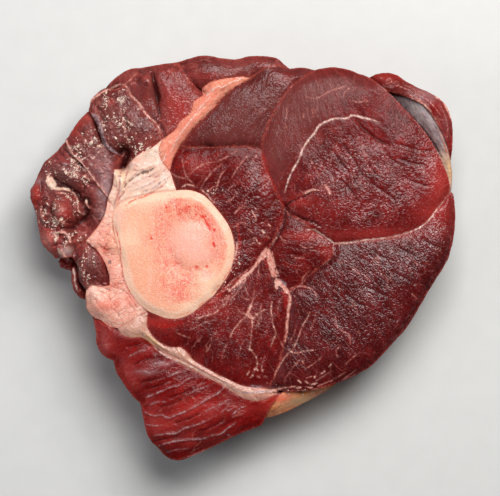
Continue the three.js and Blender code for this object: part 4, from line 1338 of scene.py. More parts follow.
# %% Layers, lines and a moist finish
LINE_SOFT = 0.17  # millimetres over which the edge of a line fades
LINE_RAGGED = 0.42  # millimetres by which noise moves that edge
FRAY_MM = 2.0  # size of that noise
MOTTLE_MM = 20 / 9  # size of the clear specks in a line
LINE_HALO = 0.9  # millimetres over which the tissue round a line takes on its colour
HALO_SHARE = 0.3  # and how much of it
CORDS = ("fat", "white", "silver", "cream")  # lines that stand a little proud of the meat
line_looks = [  # kind, its dull and its clear colour, and how much of them shows
    # the dark kind: painted shade in folds, slits and shadow gaps, and dark fibre grain
    ("shade_and_dark_grain", "#2a0606", "#420c0a", 0.7), ("red", "#8a0c0a", "#a81c16", 0.5),
    ("grey", "#6d5256", "#a08a90", 0.7), ("thread", "#a04a42", "#c8867c", 0.65),
    ("silver", "#8a5658", "#b49496", 0.7), ("fat", "#c06a5c", "#e8b0a0", 0.9),
    ("white", "#cc9488", "#ecccc0", 0.9), ("cream", "#eab49c", "#fbd8c4", 1.0),
]


def lay_over(tree, look, layers):
    """Lays colours over a colour, each with its own share of it."""
    for colour, share in layers:
        over = paint(colour) if isinstance(colour, str) else colour
        look = add(tree, "Mix", {"Factor": share, "A": look, "B": over}, data_type="RGBA")
    return look


def lines_over(tree, look, grain, looks=line_looks):
    """Lays the drawn lines over a colour, with ragged edges. Gives the colour and how far they stand up."""
    noise = add(tree, "TexNoise", {"Vector": grain, "Scale": 1 / FRAY_MM, "Detail": 4.0, "Roughness": 0.7})
    ragged = add(tree, "MapRange", {
        "Value": noise, "From Min": 0.32, "From Max": 0.68, "To Min": -LINE_RAGGED, "To Max": LINE_RAGGED,
    })
    speckle = add(tree, "TexNoise", {
        "Vector": grain, "Scale": 1 / MOTTLE_MM, "Detail": 4.0, "Roughness": 0.7,
    })
    mottle = add(tree, "MapRange", {"Value": speckle, "From Min": 0.4, "From Max": 0.56})
    layers = []
    raised = 0.0
    for kind, dull, clear, strength in looks:
        colour = lay_over(tree, paint(dull), [(clear, mottle)])
        distance = add(tree, "Attribute", attribute_name=kind).outputs["Fac"]
        moved = add(tree, "Math", {0: ragged, 1: distance}, operation="ADD")
        halo, edge = [
            add(tree, "MapRange", {
                "Value": moved, "From Min": -LINE_SOFT, "From Max": reach, "To Min": most, "To Max": 0.0,
            }, interpolation_type="SMOOTHSTEP")
            for reach, most in ((LINE_HALO, strength * HALO_SHARE), (LINE_SOFT, strength))
        ]
        layers += [(colour, halo), (colour, edge)]
        if kind in CORDS:
            raised = add(tree, "Math", {0: halo, 1: 2.0, 2: raised}, operation="MULTIPLY_ADD")
    return lay_over(tree, look, layers), raised


def moist(tree, look, height, bump_mm, roughness, coat, glow, glow_mm, relief=1.0):
    """Ends a material as moist tissue: bump, gloss, a film of juice and light that sinks in."""
    bump = add(tree, "Bump", {"Height": height, "Strength": relief, "Distance": bump_mm * MM})
    shader = add(tree, "BsdfPrincipled", {
        "Base Color": look, "Roughness": roughness, "IOR": 1.38, "Specular IOR Level": 0.05, "Normal": bump,
        "Coat Weight": coat, "Coat Roughness": 0.08, "Coat IOR": 1.42, "Coat Normal": bump,
        "Subsurface Weight": glow, "Subsurface Radius": (1.0, 0.36, 0.22), "Subsurface Scale": glow_mm * MM,
    })
    add(tree, "OutputMaterial", {"Surface": shader})


print("kinds of drawn line:", [line_look[0] for line_look in line_looks])

# %% [markdown]
# ## Lean beef, sawn and wet
#
# Lean beef is bundles of fibres, one to three millimetres thick, in thin sleeves of connective
# tissue. Sawn across, it shows as a fine mosaic of dark red. The sleeves stand a little proud of
# it as short, crooked, pinkish ridges, and where the face is wet they catch every lamp. There
# their pink is also laid on more strongly, as a painted highlight. Five patterns make it: cells
# stretched along the fibres, the ridges, fine grain inside the cells, faint veins here and there,
# and broad drifts of tone. The fibres inside a bundle are far too fine for the picture, so the
# cells are drawn at 2.2 mm, the ridges 1.6 mm apart and the grain at 1.1 mm, which is as fine as
# the picture can show. The hollows of the relief are darkened as painted shade.
#
# One function makes five finishes of it, because the meat of the slice is fresh, deep red,
# glossy and dark, dried, or freshly trimmed in turn. On the outer wall a thin, paler membrane
# covers it, with smears of fat.

# %% Lean beef
CELL_MM = 2.2  # width of a bundle of fibres
CELL_STRETCH = 0.5  # how much less often the cells follow each other along the fibres
RIDGE_MM = 1.55  # millimetres from one ridge of sleeve tissue to the next
GRAIN_MM = 1.1  # size of the fine grain
VEIN_MM = 7.0  # millimetres from one faint vein to the next
CLUSTER_MM = 6.25  # size of a cluster of bundles of one tone
SMEAR_MM = 6.25  # size of the smears on the outer wall
WANDER_MM = 10 / 3  # size of the noise that makes cells and ridges crooked
CELLS_STRAY = 2.2  # millimetres by which it moves the cells
RIDGES_STRAY = 3.0  # and the ridges
DRIFT_MM = 16  # size of the broad drifts of tone


def lean_beef(
    name, deep, plain, light, ridge_and_glint, bump_mm=0.26, roughness=0.45, coat=0.16, stretch=CELL_STRETCH,
):
    """Sawn lean beef in three reds and the tone of its ridges, partly painted highlight, with patches,
    lines, membrane and painted shade in its hollows.
    """
    material, tree, value = new_material(
        name, "rim", "skin", "hollow_shade", "bright", "brown", "pale_film_and_sheen", "wet", "blood", "milk_and_highlight",
    )
    grain = add(tree, "Attribute", attribute_name="grain").outputs["Vector"]

    drift = add(tree, "TexNoise", {"Vector": grain, "Scale": 1 / DRIFT_MM, "Detail": 4.0, "Roughness": 0.6})
    along = add(tree, "Mapping", {"Vector": grain, "Scale": (stretch, 1.0, 1.0)})
    wander = add(tree, "TexNoise", {"Vector": grain, "Scale": 1 / WANDER_MM, "Detail": 2.0})
    place = add(tree, "VectorMath", {
        0: wander.outputs["Color"], 1: (CELLS_STRAY,) * 3, 2: along,
    }, operation="MULTIPLY_ADD")
    cells = add(tree, "TexVoronoi", {"Vector": place, "Scale": 1 / CELL_MM}, feature="DISTANCE_TO_EDGE")
    tone = add(tree, "TexVoronoi", {"Vector": place, "Scale": 1 / CELL_MM}, feature="F1")
    fine = add(tree, "TexNoise", {"Vector": grain, "Scale": 1 / GRAIN_MM, "Detail": 3.0, "Roughness": 0.65})
    bundle = add(tree, "TexNoise", {"Vector": place, "Scale": 1 / CLUSTER_MM, "Detail": 3.0})
    soft = add(tree, "TexNoise", {"Vector": grain, "Scale": 1 / GRAIN_MM, "Detail": 0.0})
    crooked = add(tree, "VectorMath", {
        0: wander.outputs["Color"], 1: (RIDGES_STRAY,) * 3, 2: grain,
    }, operation="MULTIPLY_ADD")
    sleeves = add(tree, "TexNoise", {
        "Vector": crooked, "Scale": 1 / RIDGE_MM, "Detail": 0.0, "Offset": 1.0, "Gain": 1.0,
    }, noise_type="RIDGED_MULTIFRACTAL")

    veins = add(tree, "TexNoise", {
        "Vector": place, "Scale": 1 / VEIN_MM, "Detail": 0.0, "Offset": 1.0, "Gain": 1.0,
    }, noise_type="RIDGED_MULTIFRACTAL")

    spread = {}
    for key, source, low, high, most in (
        ("veins", veins, 0.93, 0.985, 1.0), ("some", drift, 0.46, 0.6, 0.4),
        ("drift", drift, 0.38, 0.66, 1.0), ("bundle", bundle, 0.42, 0.68, 0.8),
        ("wall", cells, 0.0, 0.14, 0.5),
        ("tone", tone.outputs["Color"], 0.35, 0.9, 0.4), ("fine", fine, 0.52, 0.72, 0.4),
        ("ridge_and_glint", sleeves, 0.74, 0.95, 1.0), ("broken", fine, 0.44, 0.56, 1.0),
        ("edge", value["rim"], 0.2, 1.5, 0.8), ("hollow_shade", value["hollow_shade"], 1.0, 4.0, 0.75),
    ):
        start, end = (most, 0.0) if key in ("wall", "edge") else (0.0, most)
        spread[key] = add(tree, "MapRange", {
            "Value": source, "From Min": low, "From Max": high, "To Min": start, "To Max": end,
        }, interpolation_type="SMOOTHSTEP")
    damp = add(tree, "MapRange", {
        "Value": bundle, "From Min": 0.38, "From Max": 0.6, "To Min": 0.5, "To Max": 1.15,
    })
    wet = add(tree, "Math", {0: value["wet"], 1: damp}, operation="MULTIPLY")
    # the ridges' pink is their sleeve tissue, laid on more strongly where the face is wet as painted
    # highlight
    ridge_glint_most = add(tree, "MapRange", {"Value": wet, "To Min": 0.1, "To Max": 0.45})
    sheath = add(tree, "Math", {0: spread["edge"], 1: spread["broken"]}, operation="MULTIPLY")
    vein_share = add(tree, "Math", {0: spread["veins"], 1: spread["some"]}, operation="MULTIPLY")
    ridge_parts = add(tree, "Math", {0: spread["ridge_and_glint"], 1: spread["broken"]}, operation="MULTIPLY")
    ridge_and_glint_share = add(tree, "Math", {0: ridge_parts, 1: ridge_glint_most}, operation="MULTIPLY")

    # the near-black last layer is painted shade in the hollows of the relief
    look = lay_over(tree, paint(plain), [
        (deep, spread["drift"]), (light, spread["bundle"]), (deep, spread["tone"]), (light, spread["fine"]),
        (deep, spread["wall"]), ("#a6302b", value["bright"]), ("#723834", value["brown"]),
        # the pale patches: thin films of membrane, and painted sheen of wet meat
        ("#a07c7e", value["pale_film_and_sheen"]), ("#d83a28", value["blood"]), ("#f0cdb8", value["milk_and_highlight"]),
        ("#b46a60", vein_share), (ridge_and_glint, ridge_and_glint_share), ("#a8483e", sheath), ("#200606", spread["hollow_shade"]),
    ])
    blotchy = add(tree, "TexNoise", {
        "Vector": along, "Scale": 1 / SMEAR_MM, "Detail": 5.0, "Roughness": 0.6,
    })
    membrane = add(tree, "MapRange", {
        "Value": blotchy, "From Min": 0.42, "From Max": 0.68, "To Min": 0.15, "To Max": 0.75,
    })
    on_skin = add(tree, "Math", {0: membrane, 1: value["skin"]}, operation="MULTIPLY")
    smears = add(tree, "MapRange", {"Value": blotchy, "From Min": 0.57, "From Max": 0.66, "To Max": 0.45})
    on_smears = add(tree, "Math", {0: smears, 1: value["skin"]}, operation="MULTIPLY")
    skinned = lay_over(tree, look, [("#8c6462", on_skin), ("#c8a090", on_smears)])
    look, raised = lines_over(tree, skinned, grain)

    ridged = add(tree, "Math", {0: sleeves, 1: raised}, operation="ADD")
    grains = add(tree, "Math", {0: soft, 1: 0.7, 2: ridged}, operation="MULTIPLY_ADD")
    height = add(tree, "Math", {0: bundle, 1: 0.4, 2: grains}, operation="MULTIPLY_ADD")
    juice = add(tree, "MapRange", {"Value": wet, "To Min": coat, "To Max": 0.8})
    relief = add(tree, "MapRange", {"Value": wet, "To Min": 0.45, "To Max": 1.0})
    moist(tree, look, height, bump_mm, roughness, juice, 0.1, 2.0, relief)
    return material


fresh_lean = lean_beef("beef_lean_sawn_wet", "#520b0a", "#721312", "#8a2624", "#a87478", stretch=0.8)
deep_lean = lean_beef("beef_lean_deep_red_wet", "#4c0505", "#680b0a", "#801a18", "#a06a6a")
glossy_lean = lean_beef("beef_lean_dark_glossy", "#420707", "#5c0e0e", "#721c1c", "#a0747a", coat=0.24)
dried_lean = lean_beef(
    "beef_lean_dried_dusty", "#4e1413", "#8a2e2b", "#aa4c44", "#c88e86",
    bump_mm=0.36, roughness=0.5, coat=0.34,
)
bright_lean = lean_beef("beef_lean_fresh_trimmed", "#5a0404", "#780908", "#921c1a", "#ac6664")
print("materials:", [m.name for m in bpy.data.materials if m.name.startswith("beef")])

# %% [markdown]
# ## Fat, sinew and silver skin
#
# Beef fat is firm, cream to salmon, and lies in small lobules with blood-stained threads
# between them. Sinew is the same colour and far smoother, with fine parallel fibres that shine.
# Silver skin is a tight sheet of such fibres over meat, thin enough for the meat to darken it.
# They differ in colour, in the stretch of their fibres and in gloss, so one function makes
# them all from those numbers.

# %% Fat, sinew and silver skin
FIBRE_MM = 1.3  # millimetres from one bundle of sinew fibres to the next
LOBULE_MM = 3.4  # width of a lobule of fat
TONE_MM = 25 / 3  # size of the drifts of tone
STAIN_MM = 25 / 7  # size of the stains of blood
SPECK_MM = 1.0  # size of the pale specks


def firm_tissue(
    name, dull, plain, light, stain, stretch, lobules, bump_mm, roughness, coat, stain_most=0.5,
):
    """Fat or sinew: its streaks along the fibres, its lobules and its stains of blood, with painted shade
    in its hollows and painted light on its outer wall.
    """
    material, tree, value = new_material(
        name, "rim", "skin", "hollow_shade", "pink", "yellow", "blood", "milk_and_highlight",
    )
    grain = add(tree, "Attribute", attribute_name="grain").outputs["Vector"]
    along = add(tree, "Mapping", {"Vector": grain, "Scale": (stretch, 1.0, 1.0)})
    drift = add(tree, "TexNoise", {"Vector": grain, "Scale": 1 / TONE_MM, "Detail": 4.0})
    fibres = add(tree, "TexNoise", {
        "Vector": along, "Scale": 1 / FIBRE_MM, "Detail": 4.0, "Roughness": 0.6, "Distortion": 0.4,
    })
    cells = add(tree, "TexVoronoi", {"Vector": along, "Scale": 1 / LOBULE_MM}, feature="DISTANCE_TO_EDGE")
    blood = add(tree, "TexNoise", {"Vector": grain, "Scale": 1 / STAIN_MM, "Detail": 5.0, "Roughness": 0.7})
    fine = add(tree, "TexNoise", {"Vector": grain, "Scale": 1 / SPECK_MM, "Detail": 2.0})
    spread = {}
    for key, source, low, high, start, end in (
        ("drift", drift, 0.4, 0.65, 0.0, 0.8), ("fibres", fibres, 0.45, 0.7, 0.0, 0.75),
        ("cells", cells, 0.0, 0.1, lobules, 0.0), ("blood", blood, 0.56, 0.72, 0.0, stain_most),
        ("hollow_shade", value["hollow_shade"], 0.4, 2.5, 0.0, 0.6),
        ("edge", value["rim"], 0.0, 1.3, 0.45, 0.0), ("fine", fine, 0.5, 0.7, 0.0, 0.3),
    ):
        spread[key] = add(tree, "MapRange", {
            "Value": source, "From Min": low, "From Max": high, "To Min": start, "To Max": end,
        }, interpolation_type="SMOOTHSTEP")
    # the last layer darkens the hollows of the relief as painted shade
    look = lay_over(tree, paint(plain), [
        (dull, spread["drift"]), (light, spread["fibres"]), (stain, spread["cells"]),
        (stain, spread["blood"]), (light, spread["fine"]), ("#f08a76", value["pink"]),
        ("#eec38f", value["yellow"]), ("#fbd0c2", value["milk_and_highlight"]), ("#dc5038", value["blood"]),
        (stain, spread["edge"]), ("#96402f", spread["hollow_shade"]),
    ])
    # painted light: the outer wall is lightened with the light colour, where the lamps leave it dim
    skin = add(tree, "Math", {0: drift, 1: value["skin"]}, operation="MULTIPLY")
    look, raised = lines_over(tree, lay_over(tree, look, [(light, skin)]), grain)
    ridged = add(tree, "Math", {0: fine, 1: raised}, operation="ADD")
    grains = add(tree, "Math", {0: fibres, 1: 0.8, 2: ridged}, operation="MULTIPLY_ADD")
    height = add(tree, "Math", {0: spread["cells"], 1: -1.0, 2: grains}, operation="MULTIPLY_ADD")
    moist(tree, look, height, bump_mm, roughness, coat, 0.25, 3.0)
    return material


firm_fat = firm_tissue(
    "beef_fat_firm_cut", "#e08468", "#f0967a", "#fcbca4", "#cc5a48", 0.35, 0.35, 0.3, 0.42, 0.5,
)
edge_fat = firm_tissue(
    "beef_fat_edge_rubbed", "#e07c48", "#ff9c60", "#ffc490", "#c8543a", 0.3, 0.4, 0.35, 0.45, 0.4,
)
pale_sinew = firm_tissue(
    "sinew_sawn_fibrous", "#e8b49c", "#f8ceb6", "#ffe8da", "#d88a78", 0.16, 0.1, 0.25, 0.38, 0.5, 0.3,
)
soft_gristle = firm_tissue(
    "gristle_knobbly_moist", "#f4a890", "#fcbea8", "#ffdaca", "#dc7a68", 0.6, 0.45, 0.35, 0.42, 0.5,
)
seam_sinew = firm_tissue(
    "sinew_seam_stretched", "#b87c6c", "#cf9884", "#e6bca6", "#a8443a", 0.14, 0.1, 0.2, 0.36, 0.6, 0.6,
)
silver_skin = firm_tissue(
    "silver_skin_taut_moist", "#8c6a6e", "#b6a2a4", "#d8ccc8", "#8a4a48", 0.12, 0.1, 0.12, 0.3, 0.8, 0.4,
)
print("materials so far:", len(bpy.data.materials))

# %% [markdown]
# ## Sawn bone and marrow
#
# The end of a femur is a sponge of thin bone plates filled with pink marrow, inside a dense
# ivory rim. The saw smears both to a nearly even cream, so the sponge only shows as fine pink
# and cream specks, close to a millimetre apart, with a few drops of blood. The marrow in the
# middle is smooth, like cold butter, and carries faint marks of the saw teeth.
#
# No line parts the marrow from the sponge: one fades into the other. So one function colours
# both by the same patches, and they differ only in their bump and gloss.

# %% Bone and marrow
SPONGE_MM = 1.5  # size of the openings in the bone's sponge
IVORY_MM = 4.5  # width of the dense rim
SAW_MARK_MM = 1.6  # millimetres from one saw mark to the next
BONE_SPECK_MM = 1.25  # size of its pale specks
BONE_TONE_MM = 100 / 9  # size of the drifts of tone
BLOT_MM = 4.0  # size of the blots within a patch
OPENINGS = 0.8  # how strongly the openings show


def sawn_end(name, bump_mm, roughness, coat):
    """The sawn end of the bone or its marrow."""
    material, tree, value = new_material(name, "rim", "pink", "yellow", "blood", "milk_and_highlight")
    grain = add(tree, "Attribute", attribute_name="grain").outputs["Vector"]
    marks = add(tree, "Mapping", {"Vector": grain, "Scale": (0.06, 1.0, 1.0)})
    saw = add(tree, "TexNoise", {"Vector": marks, "Scale": 1 / SAW_MARK_MM, "Detail": 3.0})
    sponge = add(tree, "TexVoronoi", {"Vector": grain, "Scale": 1 / SPONGE_MM}, feature="F1")
    fine = add(tree, "TexNoise", {
        "Vector": grain, "Scale": 1 / BONE_SPECK_MM, "Detail": 4.0, "Roughness": 0.7,
    })
    drift = add(tree, "TexNoise", {"Vector": grain, "Scale": 1 / BONE_TONE_MM, "Detail": 4.0})
    patchy = add(tree, "TexNoise", {
        "Vector": grain, "Scale": 1 / BLOT_MM, "Detail": 5.0, "Roughness": 0.65,
    })
    spread = {}
    for key, source, low, high, start, end in (
        ("holes", sponge.outputs["Distance"], 0.1, 0.5, OPENINGS, 0.0),
        ("inside", value["rim"], IVORY_MM - 1.0, IVORY_MM + 1.5, 0.0, 1.0),
        ("fine", fine, 0.47, 0.66, 0.0, 0.4), ("drift", drift, 0.4, 0.62, 0.0, 0.6),
        ("edge", value["rim"], 0.0, 0.9, 0.6, 0.0), ("specks", fine, 0.56, 0.66, 0.0, OPENINGS),
        ("saw", saw, 0.5, 0.72, 0.0, 0.3), ("patchy", patchy, 0.38, 0.62, 0.35, 1.5),
    ):
        spread[key] = add(tree, "MapRange", {
            "Value": source, "From Min": low, "From Max": high, "To Min": start, "To Max": end,
        }, interpolation_type="SMOOTHSTEP")
    share = {}
    for key, one, two in (
        ("pink", value["pink"], spread["patchy"]), ("blood", value["blood"], spread["patchy"]),
        ("holes", spread["holes"], value["pink"]), ("specks", spread["specks"], value["pink"]),
    ):
        product = add(tree, "Math", {0: one, 1: two}, operation="MULTIPLY", use_clamp=True)
        share[key] = add(tree, "Math", {0: product, 1: spread["inside"]}, operation="MULTIPLY")
    look = lay_over(tree, paint("#fbcbb0"), [
        ("#fcc0a0", spread["drift"]), ("#f9ae8d", spread["inside"]), ("#fcd0b2", value["yellow"]),
        ("#f4806e", share["pink"]), ("#f26a52", share["blood"]), ("#da5442", share["holes"]),
        ("#fbd9c6", share["specks"]), ("#fcb4a4", value["milk_and_highlight"]), ("#fecaba", spread["saw"]),
        ("#ffdcc4", spread["fine"]), ("#e29a84", spread["edge"]),
    ])
    look, _ = lines_over(tree, look, grain, [
        ("red", "#d8201a", "#ec4434", 0.85), ("fat", "#e8694c", "#f08c70", 0.6),
        ("grey", "#b98c88", "#d0a8a0", 0.4),
    ])
    height = add(tree, "Math", {0: spread["holes"], 1: -1.0, 2: fine}, operation="MULTIPLY_ADD")
    moist(tree, look, height, bump_mm, roughness, coat, 0.2, 3.0)
    return material


sawn_bone = sawn_end("bone_sawn_spongy", 0.16, 0.5, 0.25)
sawn_marrow = sawn_end("marrow_sawn_smooth", 0.12, 0.45, 0.3)
print("materials so far:", len(bpy.data.materials))

# %% [markdown]
# ## Dressing every piece
#
# Now each node gets its fine piece: the mesh is built, its values are stored, and it takes its
# material. Each piece rides on the one body of the part and stands for the solid of the same
# name. The torn parts on the left are rougher than the muscles that the saw cut cleanly.

# %% Build and dress the pieces
dusty_torn = ("torn", dried_lean, "lean_dark")
finish = {
    "femur": ("sawn", sawn_bone, "bone"), "marrow": ("sawn", sawn_marrow, "marrow"),
    "joint_capsule": ("tissue", pale_sinew, "sinew"), "gristle": ("tissue", soft_gristle, "sinew"),
    "upper_fat_seam": ("tissue", firm_fat, "fat"), "lower_sinew_seam": ("tissue", seam_sinew, "sinew"),
    "edge_fat": ("tissue", edge_fat, "fat"), "silver_skin": ("tissue", silver_skin, "silver_skin"),
    "round_lobe": ("clean", fresh_lean, "lean"), "outer_muscle": ("clean", glossy_lean, "lean"),
    "wedge_muscle": ("clean", deep_lean, "lean"), "heart_muscle": ("clean", deep_lean, "lean"),
    "shank_muscle": ("clean", deep_lean, "lean"), "crown_muscle": ("clean", glossy_lean, "lean"),
    "top_strip": ("clean", dried_lean, "lean_dark"), "top_muscle": ("clean", dried_lean, "lean_dark"),
    "saddle_muscle": dusty_torn, "flank_muscle": dusty_torn, "torn_fringe": dusty_torn,
    "stub_muscle": dusty_torn, "side_ribbon": dusty_torn, "under_slab": ("torn", bright_lean, "lean"),
    "heel_muscle": ("clean", bright_lean, "lean"), "flap": ("clean", bright_lean, "lean"),
}
surface = {
    "sawn": {"groove": 0.1, "ripple": 0.02, "crumple": 0.0, "rough": 0.4},
    "tissue": {"groove": 0.1, "ripple": 0.2, "crumple": 0.2, "rough": 1.2},
    "clean": {"groove": 0.1, "ripple": 0.25, "crumple": 0.0, "rough": 1.0},
    "torn": {"groove": 0.3, "ripple": 0.45, "crumple": 0.6, "rough": 2.4},
}

pieces = {}
for number, (node, (kind, material, slot)) in enumerate(finish.items()):
    mesh, known = piece_mesh(node, seed=100 + number, **surface[kind])
    store_all(mesh, node, known)
    piece = put_in_scene(node + "_dressed", mesh)
    mesh.materials.append(material)
    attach(piece, "root")
    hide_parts(node)
    pieces[node] = piece
face_counts = {node: len(piece.data.polygons) for node, piece in pieces.items()}
print("faces:", face_counts, "in all", sum(face_counts.values()))

# %% [markdown]
# ## Bone dust
#
# The saw throws up crumbs of bone and fat, a third of a millimetre to four millimetres long, and
# they stick where the meat is wet and torn. A particle system could scatter them. Here they are
# one mesh of true size, and a seed keeps them in their places. Each is a ball pulled out of
# shape, laid along the surface that a ray meets from above and sunk into it by a third. The
# largest ones are set where the photograph shows them.

# %% Bone dust
CRUMBS = 1500  # how many small crumbs
CRUMB_MM = 0.62  # their usual length
CRUMB_SPREAD = 0.5  # how much that varies, as the spread of its logarithm
CRUMB_LIMITS = (0.3, 1.9)  # the shortest and the longest of them
CRUMB_LIFT = 0.15  # share of its thickness by which a crumb's middle stands clear
CRUMB_SHARE = (0.35, 0.7)  # width as a share of the length
CRUMB_THICK = (0.35, 0.6)  # thickness as a share of the width
CRUMB_DENT = 0.28  # share of its radius by which a crumb is pulled out of shape
CRUMB_POINTS = 0.4  # share of that for each single point
CRUMB_BLOT_MM = 0.8  # size of the rosy blots on a crumb
CLUMP_MM = 3.0  # crumbs lie in clumps of about this size
CLUMP_LEVEL, CLUMP_CONTRAST = 0.4, 2.4  # how full clumps are, and how unlike
DUSTY_CORNERS = ((30, 410), (330, 80))  # pixels at the lower left and upper right of the dust
TRIES = 40000  # places that are tried at once
large_crumbs = [  # place in pixels, length in mm, turn in degrees
    (115.5,138, 3.4, 75), (90.5,143, 4.2, 105), (98.5,146, 3.4, 85), (147,149.5, 3.6, 40),
    (75,156, 2.2, 50), (76,149, 2.4, 20), (123,127, 2.6, 90), (123,118, 1.8, 80), (128.5,122, 1.8, 60),
    (138,109, 2.2, 80), (146,138.5, 1.6, 0), (132,137, 1.4, 10), (82,133, 2, 110), (103,125, 1.4, 20),
    (105,130, 1.3, 60), (71,161, 1.6, 30), (66,173, 2, 140), (76,168, 1.8, 30), (55,172.5, 1.4, 0),
    (84.5,176, 1.3, 20), (47,204, 2, 160), (44,210, 1.8, 60), (66,241.5, 1.8, 120), (55.5,238, 1.8, 60),
    (82,265.5, 2, 170), (84,272, 1.6, 30), (147,118, 1.2, 0), (141,124, 1.1, 20), (113,94, 1.4, 10),
    (118,98, 1.6, 40), (121,101, 1.4, 80), (114,113, 1.8, 90), (106,104, 1.5, 120), (124,113, 1.5, 90),
    (152,155, 1.4, 20), (140,156, 1.6, 70), (146,158, 1.3, 20), (156,151, 1.5, 90), (150,147, 1.6, 0),
    (139,143.5, 1.6, 30), (57,224, 1.6, 110), (62,220, 1.4, 140), (89,275, 1.3, 100), (68,237, 1.2, 30),
    (81,156, 1.2, 70),
]


def crumb_places(count, seed):
    """Places for the small crumbs: tried at random, kept where the dust patches are strong."""
    rng = np.random.default_rng(seed)
    low, high = on_face(DUSTY_CORNERS)
    kept = np.empty((0, 2))
    while len(kept) < count:
        tries = rng.uniform(low, high, (TRIES, 2))
        clumps = np.clip(CLUMP_LEVEL + CLUMP_CONTRAST * rough_noise(tries, CLUMP_MM, 61, 2), 0, 1)
        chance = patch_value("dust", tries) ** 1.5 * clumps
        kept = np.vstack([kept, tries[rng.uniform(size=len(tries)) < chance]])
    return kept[:count]


def crumb_mesh(seed):
    """All crumbs in one mesh, with a tone for each."""
    ball = bmesh.new()
    bmesh.ops.create_icosphere(ball, subdivisions=2, radius=0.5)
    shape = np.array([corner.co for corner in ball.verts])
    faces = np.array([[corner.index for corner in face.verts] for face in ball.faces])
    ball.free()
    rng = np.random.default_rng(seed)
    small = crumb_places(CRUMBS, seed)
    large_x, large_y, large_length, large_turn = np.array(large_crumbs).T
    centres = np.vstack([small, on_face(np.stack([large_x, large_y], 1))])
    usual = np.clip(CRUMB_MM * np.exp(rng.normal(0, CRUMB_SPREAD, CRUMBS)), *CRUMB_LIMITS)
    lengths = np.concatenate([usual, large_length])
    turns = np.concatenate([rng.uniform(0, 180, CRUMBS), large_turn])
    corners, tones, held = [], [], []
    for number, (centre, length, turn) in enumerate(zip(centres, lengths, turns)):
        met, normal = None, None
        for tree in dressed_trees:
            place, way, _, _ = tree.ray_cast(Vector((*centre, ABOVE)), DOWN)
            if place is not None and (met is None or place.z > met.z):
                met, normal = place, way
        if met is None:
            continue
        width = length * rng.uniform(*CRUMB_SHARE)
        thick = width * rng.uniform(*CRUMB_THICK)
        dent = 1 + CRUMB_DENT * rng.normal(size=(len(shape), 1)) * CRUMB_POINTS
        dent += CRUMB_DENT * rough_noise(shape[:, :2] * 2 + number * 3, 1.0, number, 2)[:, None]
        crumb = shape * dent * (length, width, thick)
        facing = normal.to_track_quat("Z", "Y").to_matrix() @ Matrix.Rotation(math.radians(turn), 3, "Z")
        crumb = crumb @ np.array(facing).T + np.array(met) + np.array(normal) * thick * CRUMB_LIFT
        corners.append(crumb)
        held.append(faces + len(shape) * (len(corners) - 1))
        tones.append(np.full(len(shape), rng.uniform()))
    corners, held = np.vstack(corners), np.vstack(held)
    mesh = bpy.data.meshes.new("bone_dust")
    mesh.from_pydata(corners * MM, [], held.tolist())
    mesh.polygons.foreach_set("use_smooth", np.ones(len(held), bool))
    store(mesh, "tone", np.concatenate(tones))
    return mesh


crumb, tree, value = new_material("bone_dust_moist_crumbs", "tone")
place = add(tree, "TexCoord").outputs["Object"]
blots = add(tree, "TexNoise", {
    "Vector": place, "Scale": 1 / (CRUMB_BLOT_MM * MM), "Detail": 3.0, "Roughness": 0.6,
})
blot = add(tree, "MapRange", {"Value": blots, "From Min": 0.42, "From Max": 0.66, "To Max": 0.6})
rosy = add(tree, "MapRange", {"Value": value["tone"], "From Min": 0.45, "From Max": 1.0, "To Max": 0.8})
crumb_look = lay_over(tree, paint("#fae4d2"), [("#d89a88", rosy), ("#e8b8a4", blot)])
moist(tree, crumb_look, blots, 0.1, 0.45, 0.4, 0.2, 0.6)

dressed_trees = []
for piece in pieces.values():
    points = np.empty(len(piece.data.vertices) * 3, np.float32)
    piece.data.vertices.foreach_get("co", points)
    triangles = [tuple(face.vertices) for face in piece.data.polygons]
    dressed_trees.append(BVHTree.FromPolygons((points.reshape(-1, 3) / MM).tolist(), triangles))
dust_mesh = crumb_mesh(57)
dust = put_in_scene("bone_dust", dust_mesh)
dust_mesh.materials.append(crumb)
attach(dust, "root")
print("crumb faces:", len(dust_mesh.polygons))

# %% [markdown]
# ## Floor, lamps and camera
#
# The picture looks straight down, so the camera hangs 1.6 m over the cut face with a long lens,
# which keeps the walls out of sight as in the photograph. The frame is 315 mm wide there.
# A large soft lamp hangs high over the far side, just far enough out that level meat doesn't
# mirror it, while each slope that leans towards it does. A smaller one at the upper right
# models the folds, and a weak one opposite lights their shadows. Level wet meat mirrors the sky
# right above, so that stays dim, or the reds would turn milky.

# %% Set the stage
FACE_HEIGHT = 0.0555  # metres, the usual height of the cut face
CAMERA_ABOVE = 1.6  # metres from the cut face to the camera
SENSOR_MM = 36.0
IMAGE_MIDDLE = (250, 248)  # pixel in the middle of the photograph
SKY = 0.12  # strength of the light from all round

view_x, view_y = on_face(IMAGE_MIDDLE)[0] * MM
camera_data = bpy.data.cameras.new("camera_above")
camera_data.sensor_width = SENSOR_MM
camera_data.lens = SENSOR_MM * CAMERA_ABOVE / (IMAGE_WIDTH * PIXEL * MM)
camera = put_in_scene("camera_above", camera_data)
camera.location = (view_x, view_y, FACE_HEIGHT + CAMERA_ABOVE)
bpy.context.scene.camera = camera


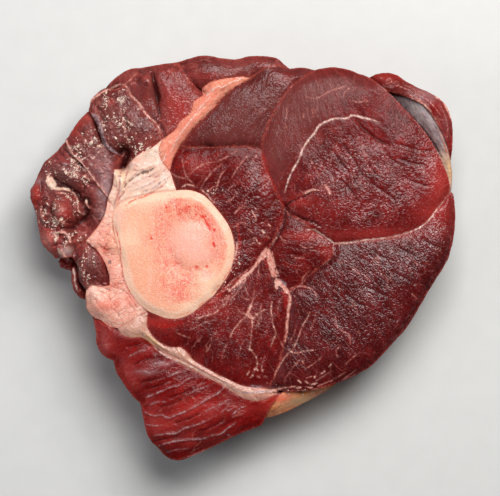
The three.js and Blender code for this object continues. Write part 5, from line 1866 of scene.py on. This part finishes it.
def lamp(name, place, size, watts, colour):
    """A soft square lamp that looks at the middle of the slice."""
    data = bpy.data.lights.new(name, "AREA")
    data.size = size
    data.energy = watts
    data.color = [channel / ALBEDO for channel in paint(colour)[:3]]
    made = put_in_scene(name, data)
    made.location = place
    way = Vector((0, 0, FACE_HEIGHT)) - Vector(place)
    made.rotation_euler = way.to_track_quat("-Z", "Y").to_euler()


lamp("lamp_over", (0.18, 0.55, 1.1), 0.7, 22, "#ffffff")
lamp("lamp_key", (0.6, 0.75, 0.95), 0.4, 7, "#fffaf4")
lamp("lamp_fill", (-0.85, -0.2, 0.8), 0.8, 4, "#f6f9ff")

world = bpy.data.worlds.new("studio_air")
world.use_nodes = True
world.node_tree.nodes["Background"].inputs["Color"].default_value = paint("#ffffff")
world.node_tree.nodes["Background"].inputs["Strength"].default_value = SKY
bpy.context.scene.world = world
bpy.context.scene.view_settings.view_transform = "Standard"

FLOOR_HALF = 1.5  # metres
CARD_SPECKS = 220.0  # specks across the card, 14 mm each, so that they show
floor_mesh = bpy.data.meshes.new("floor_card")
corner_ways = ((-1, -1), (1, -1), (1, 1), (-1, 1))
floor_mesh.from_pydata([(FLOOR_HALF * x, FLOOR_HALF * y, 0) for x, y in corner_ways], [], [(0, 1, 2, 3)])
floor = put_in_scene("floor_card", floor_mesh)
floor_card, tree, _ = new_material("floor_pale_matt_card")
speckle = add(tree, "TexNoise", {"Scale": CARD_SPECKS, "Detail": 2.0})
paper = add(tree, "MapRange", {"Value": speckle, "From Min": 0.3, "From Max": 0.7, "To Max": 0.5})
card_look = lay_over(tree, paint("#dcdcda"), [("#e2e2e0", paper)])
card_shader = add(tree, "BsdfPrincipled", {"Base Color": card_look, "Roughness": 0.9})
add(tree, "OutputMaterial", {"Surface": card_shader})
floor_mesh.materials.append(floor_card)
print("lens", round(camera_data.lens, 1), "mm")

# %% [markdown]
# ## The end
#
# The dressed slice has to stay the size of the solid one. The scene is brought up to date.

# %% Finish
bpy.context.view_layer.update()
